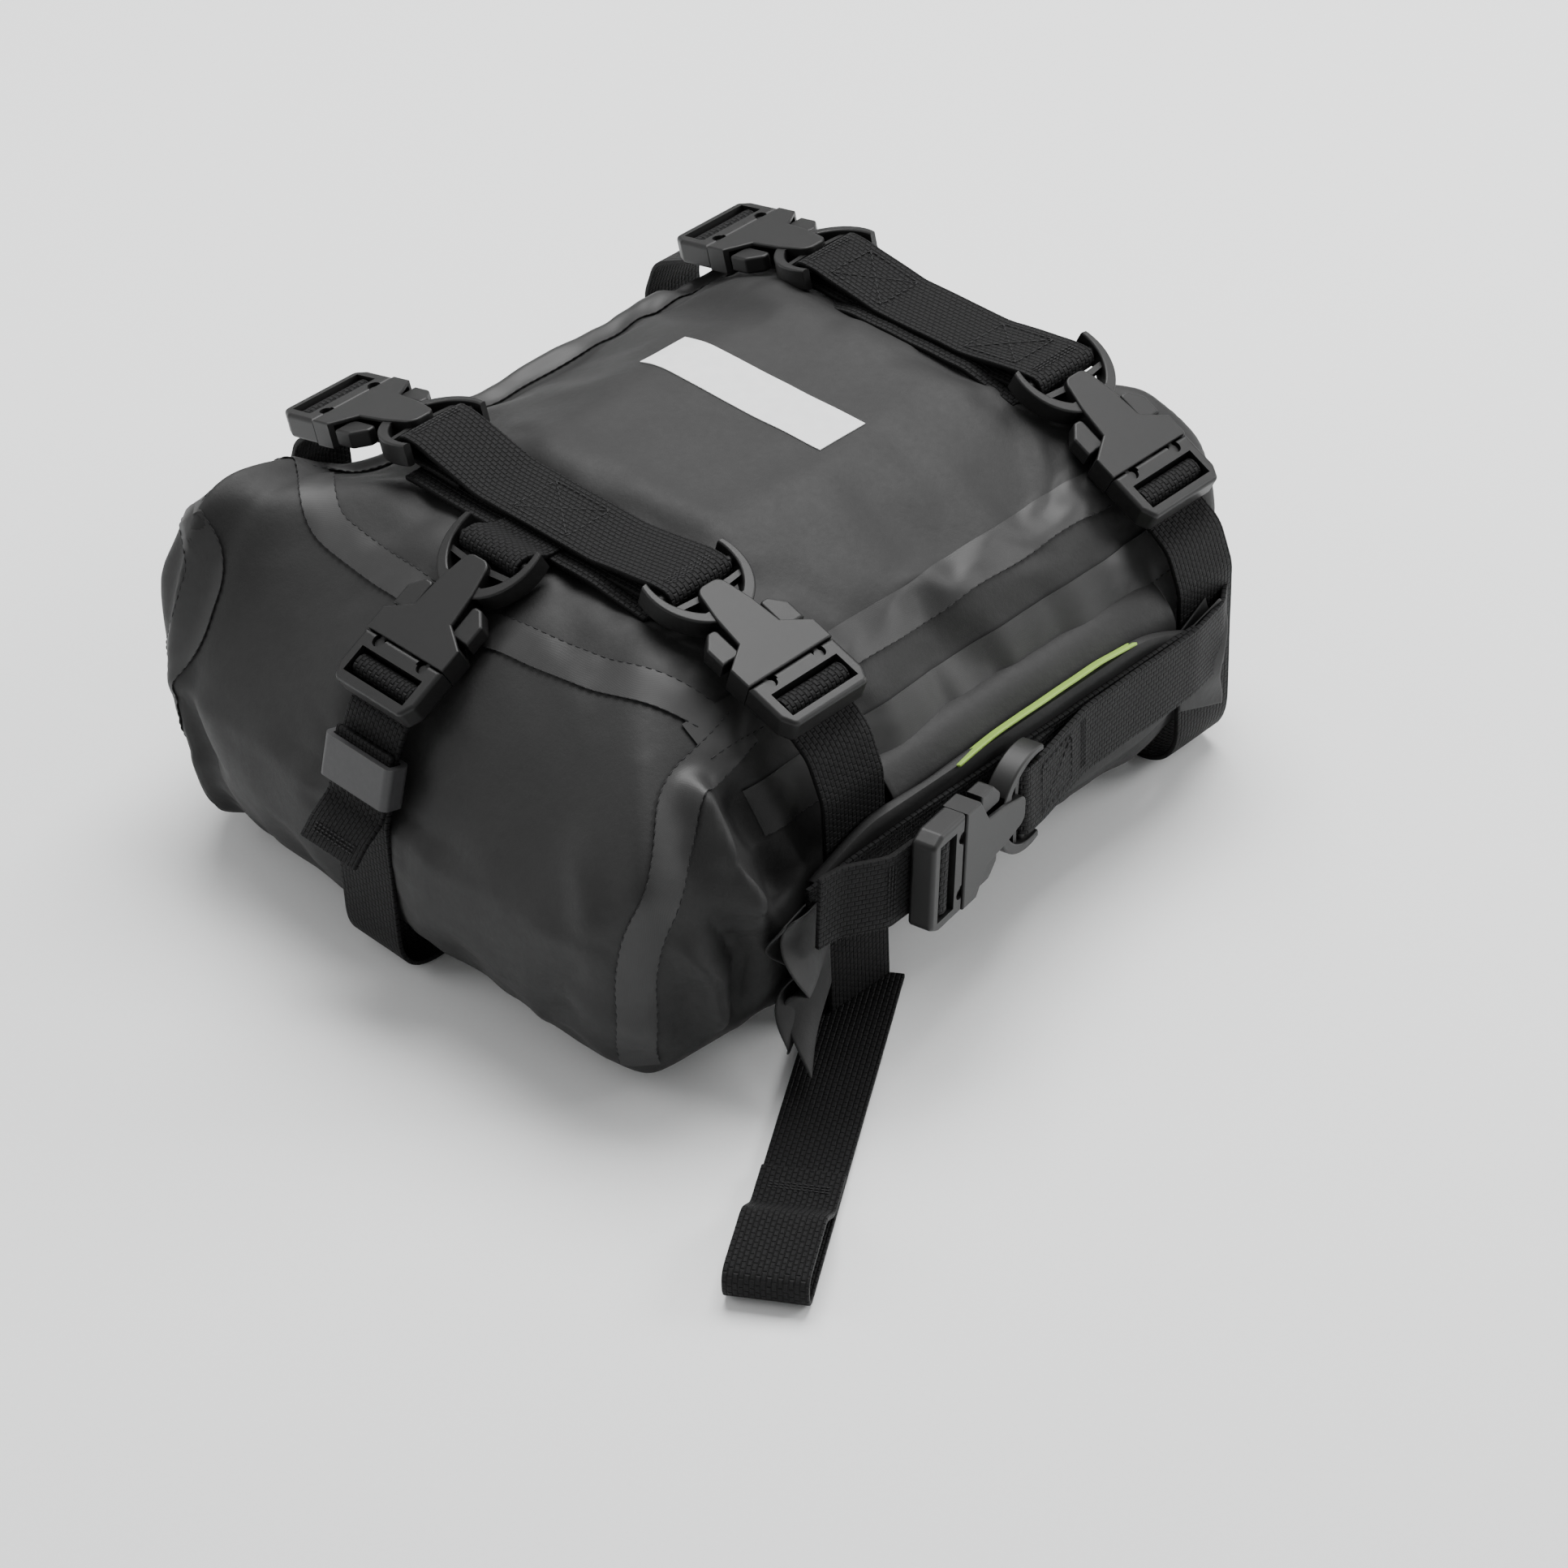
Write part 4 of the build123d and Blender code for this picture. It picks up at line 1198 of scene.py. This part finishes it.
def smooth_along(rows, reach=9):
    """Each row averaged with its neighbours, with the ends kept."""
    padded_rows = np.pad(rows, ((reach, reach), (0, 0)), mode="reflect", reflect_type="odd")
    window = np.hanning(2 * reach + 3)[1:-1]
    window /= window.sum()
    return np.stack([np.convolve(padded_rows[:, i], window, "valid") for i in range(3)], axis=1)


def drop(place, out, height):
    """Where a point falls onto the shell against the direction out, lifted by height."""
    out = Vector(out).normalized()
    spot, _, _, _ = shell_tree.ray_cast((Vector(place) + out * DROP_FROM) * MM, -out)
    if spot is None:
        return on_shell(place, height)[0]
    return np.array(spot) / MM + np.array(out) * height


def pressed(name, corners, bends, width, film, thickness, height):
    """A tape along a route near the shell, and its two edges for rows of stitches. Height is
    the gap left under it, so that a fold of the shell doesn't cut through."""
    line, length = rounded(corners, bends)
    print(name, round(length), "mm")
    count = len(line)
    found = [on_shell(p) for p in line]
    outs = smooth_along(np.array([f[1] for f in found]))
    line = smooth_along(np.array([f[0] for f in found]))
    tangents = np.gradient(line, axis=0)
    across = np.cross(outs, tangents)
    across /= np.linalg.norm(across, axis=1)[:, None]
    tape, flat = flat_grid(name, count - 1, TAPE_ROWS)
    column = np.clip(np.rint(flat[:, 0] * (count - 1)).astype(int), 0, count - 1)
    guess = line[column] + across[column] * ((flat[:, 1] - 0.5) * width)[:, None]
    lift_by = thickness / 2 + height
    move_points(tape, np.array([drop(g, outs[c], lift_by) for g, c in zip(guess, column)]))
    thicken(tape, thickness)
    apply_and_smooth(tape, SMOOTH_UNDER)
    tape.data.materials.append(film)
    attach(tape, "bag")
    edges = []
    for side in (-0.5, 0.5):
        row = [drop(p + a * width * side, o, thickness + height)
               for p, a, o in zip(line, across, outs)]
        edges.append((np.array(row), outs))
    return tape, edges


tapes = {
    "mouth_tape_upper": ([(88, -84, 98), (89, 0, 100), (88, 116, 98)], [200], 13),
    "mouth_tape_lower": ([(107, -78, 80), (108, 0, 80), (107, 112, 80)], [200], 15),
    "front_top_tape": ([(-92, -78, 100), (-64, -91, 106), (-10, -94, 106), (50, -88, 106),
                        (84, -76, 100)], [20, 60, 60], 11),
    "front_corner_tape": ([(92, -66, 98), (96, -96, 92), (100, -116, 74), (102, -124, 48),
                           (102, -124, 14)], [24, 30, 40], 12),
    "end_ring_tape": ([(-92, -116, 18), (-93, -130, 50), (-93, -120, 92), (-93, -84, 106),
                       (-93, 0, 106), (-93, 96, 106), (-93, 130, 80), (-93, 124, 18)],
                      [30, 26, 26, 60, 26, 26], 12),
}
stands_for = {"mouth_tape_upper": "mouth_tapes", "front_top_tape": "front_seam_tape",
              "end_ring_tape": "end_seam_tape"}
TAPE_STITCH = {"pitch": 3.2, "length": 2.4, "thick": 0.5}
for name, (corners, bends, width) in tapes.items():
    bends = bends + bends[-1:] * (len(corners) - 2 - len(bends))
    tape, edges = pressed(name, corners, bends, width, tape_finish, TAPE_T, TAPE_GAP)
    if name in stands_for:
        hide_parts(stands_for[name])
    for places, outs in edges[: 1 if name.startswith("mouth") else 2]:
        sew("seam_stitches", places, outs, **TAPE_STITCH)
mark_low, mark_high = box_of("reflective_strip")
mark_y = (mark_low[1] + mark_high[1]) / 2
strip, _ = pressed("reflective_band", [(mark_low[0], mark_y, top_z), (mark_high[0], mark_y, top_z)],
                   [], mark_high[1] - mark_low[1], reflective, FILM_T, FILM_GAP)
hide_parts("reflective_strip")

# %% [markdown]
# ## Stitches
# The stitches come last, because they need every strap. All the stitches of one name become one
# piece, and it moves with the strap that it is sewn to, or it would stay behind when a buckle is
# released.

# %% Stitches
front_mid = top_straps["front"].length / 2
box_with_cross("strap_stitches", top_straps["front"], front_mid - 12, front_mid + 12)
box_with_cross("strap_stitches", top_straps["rear"], 44, 66)
box_with_cross("strap_stitches", top_straps["rear"], top_straps["rear"].length - 66,
               top_straps["rear"].length - 44)
for strap in top_straps.values():
    for s in (33, strap.length - 37):
        bar_tack("strap_stitches", strap, s)
box_with_cross("strap_stitches", rear_link, 46, 64)
bar_tack("strap_stitches", rear_link, 70)
bar_tack("closure_front_stitches", front_link, front_link.length - 26)
bar_tack("tail_stitches", tail, tail.length - 6)
bar_tack("strap_stitches", tether, tether.length - 9)
bar_tack("strap_stitches", link, 20)
for s in np.arange(12, band.length - 10, 52):
    bar_tack("strap_stitches", band, s)
rides_on = {"tail_stitches": "front_centre_male_half"}
for name, batches in stitch_rows.items():
    count = len(stitch_points)
    faces = [[i + k * count for i in f] for k in range(len(batches)) for f in stitch_faces]
    mesh = bpy.data.meshes.new(name)
    mesh.from_pydata((np.concatenate(batches) * MM).tolist(), [], faces)
    mesh.update()
    sewn = bpy.data.objects.new(name, mesh)
    bpy.context.collection.objects.link(sewn)
    mesh.polygons.foreach_set("use_smooth", [True] * len(faces))
    mesh.materials.append(thread)
    if name == "closure_front_stitches":
        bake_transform(sewn)
    else:
        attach(sewn, rides_on.get(name, "bag"))
    print(name, len(batches), "stitches")
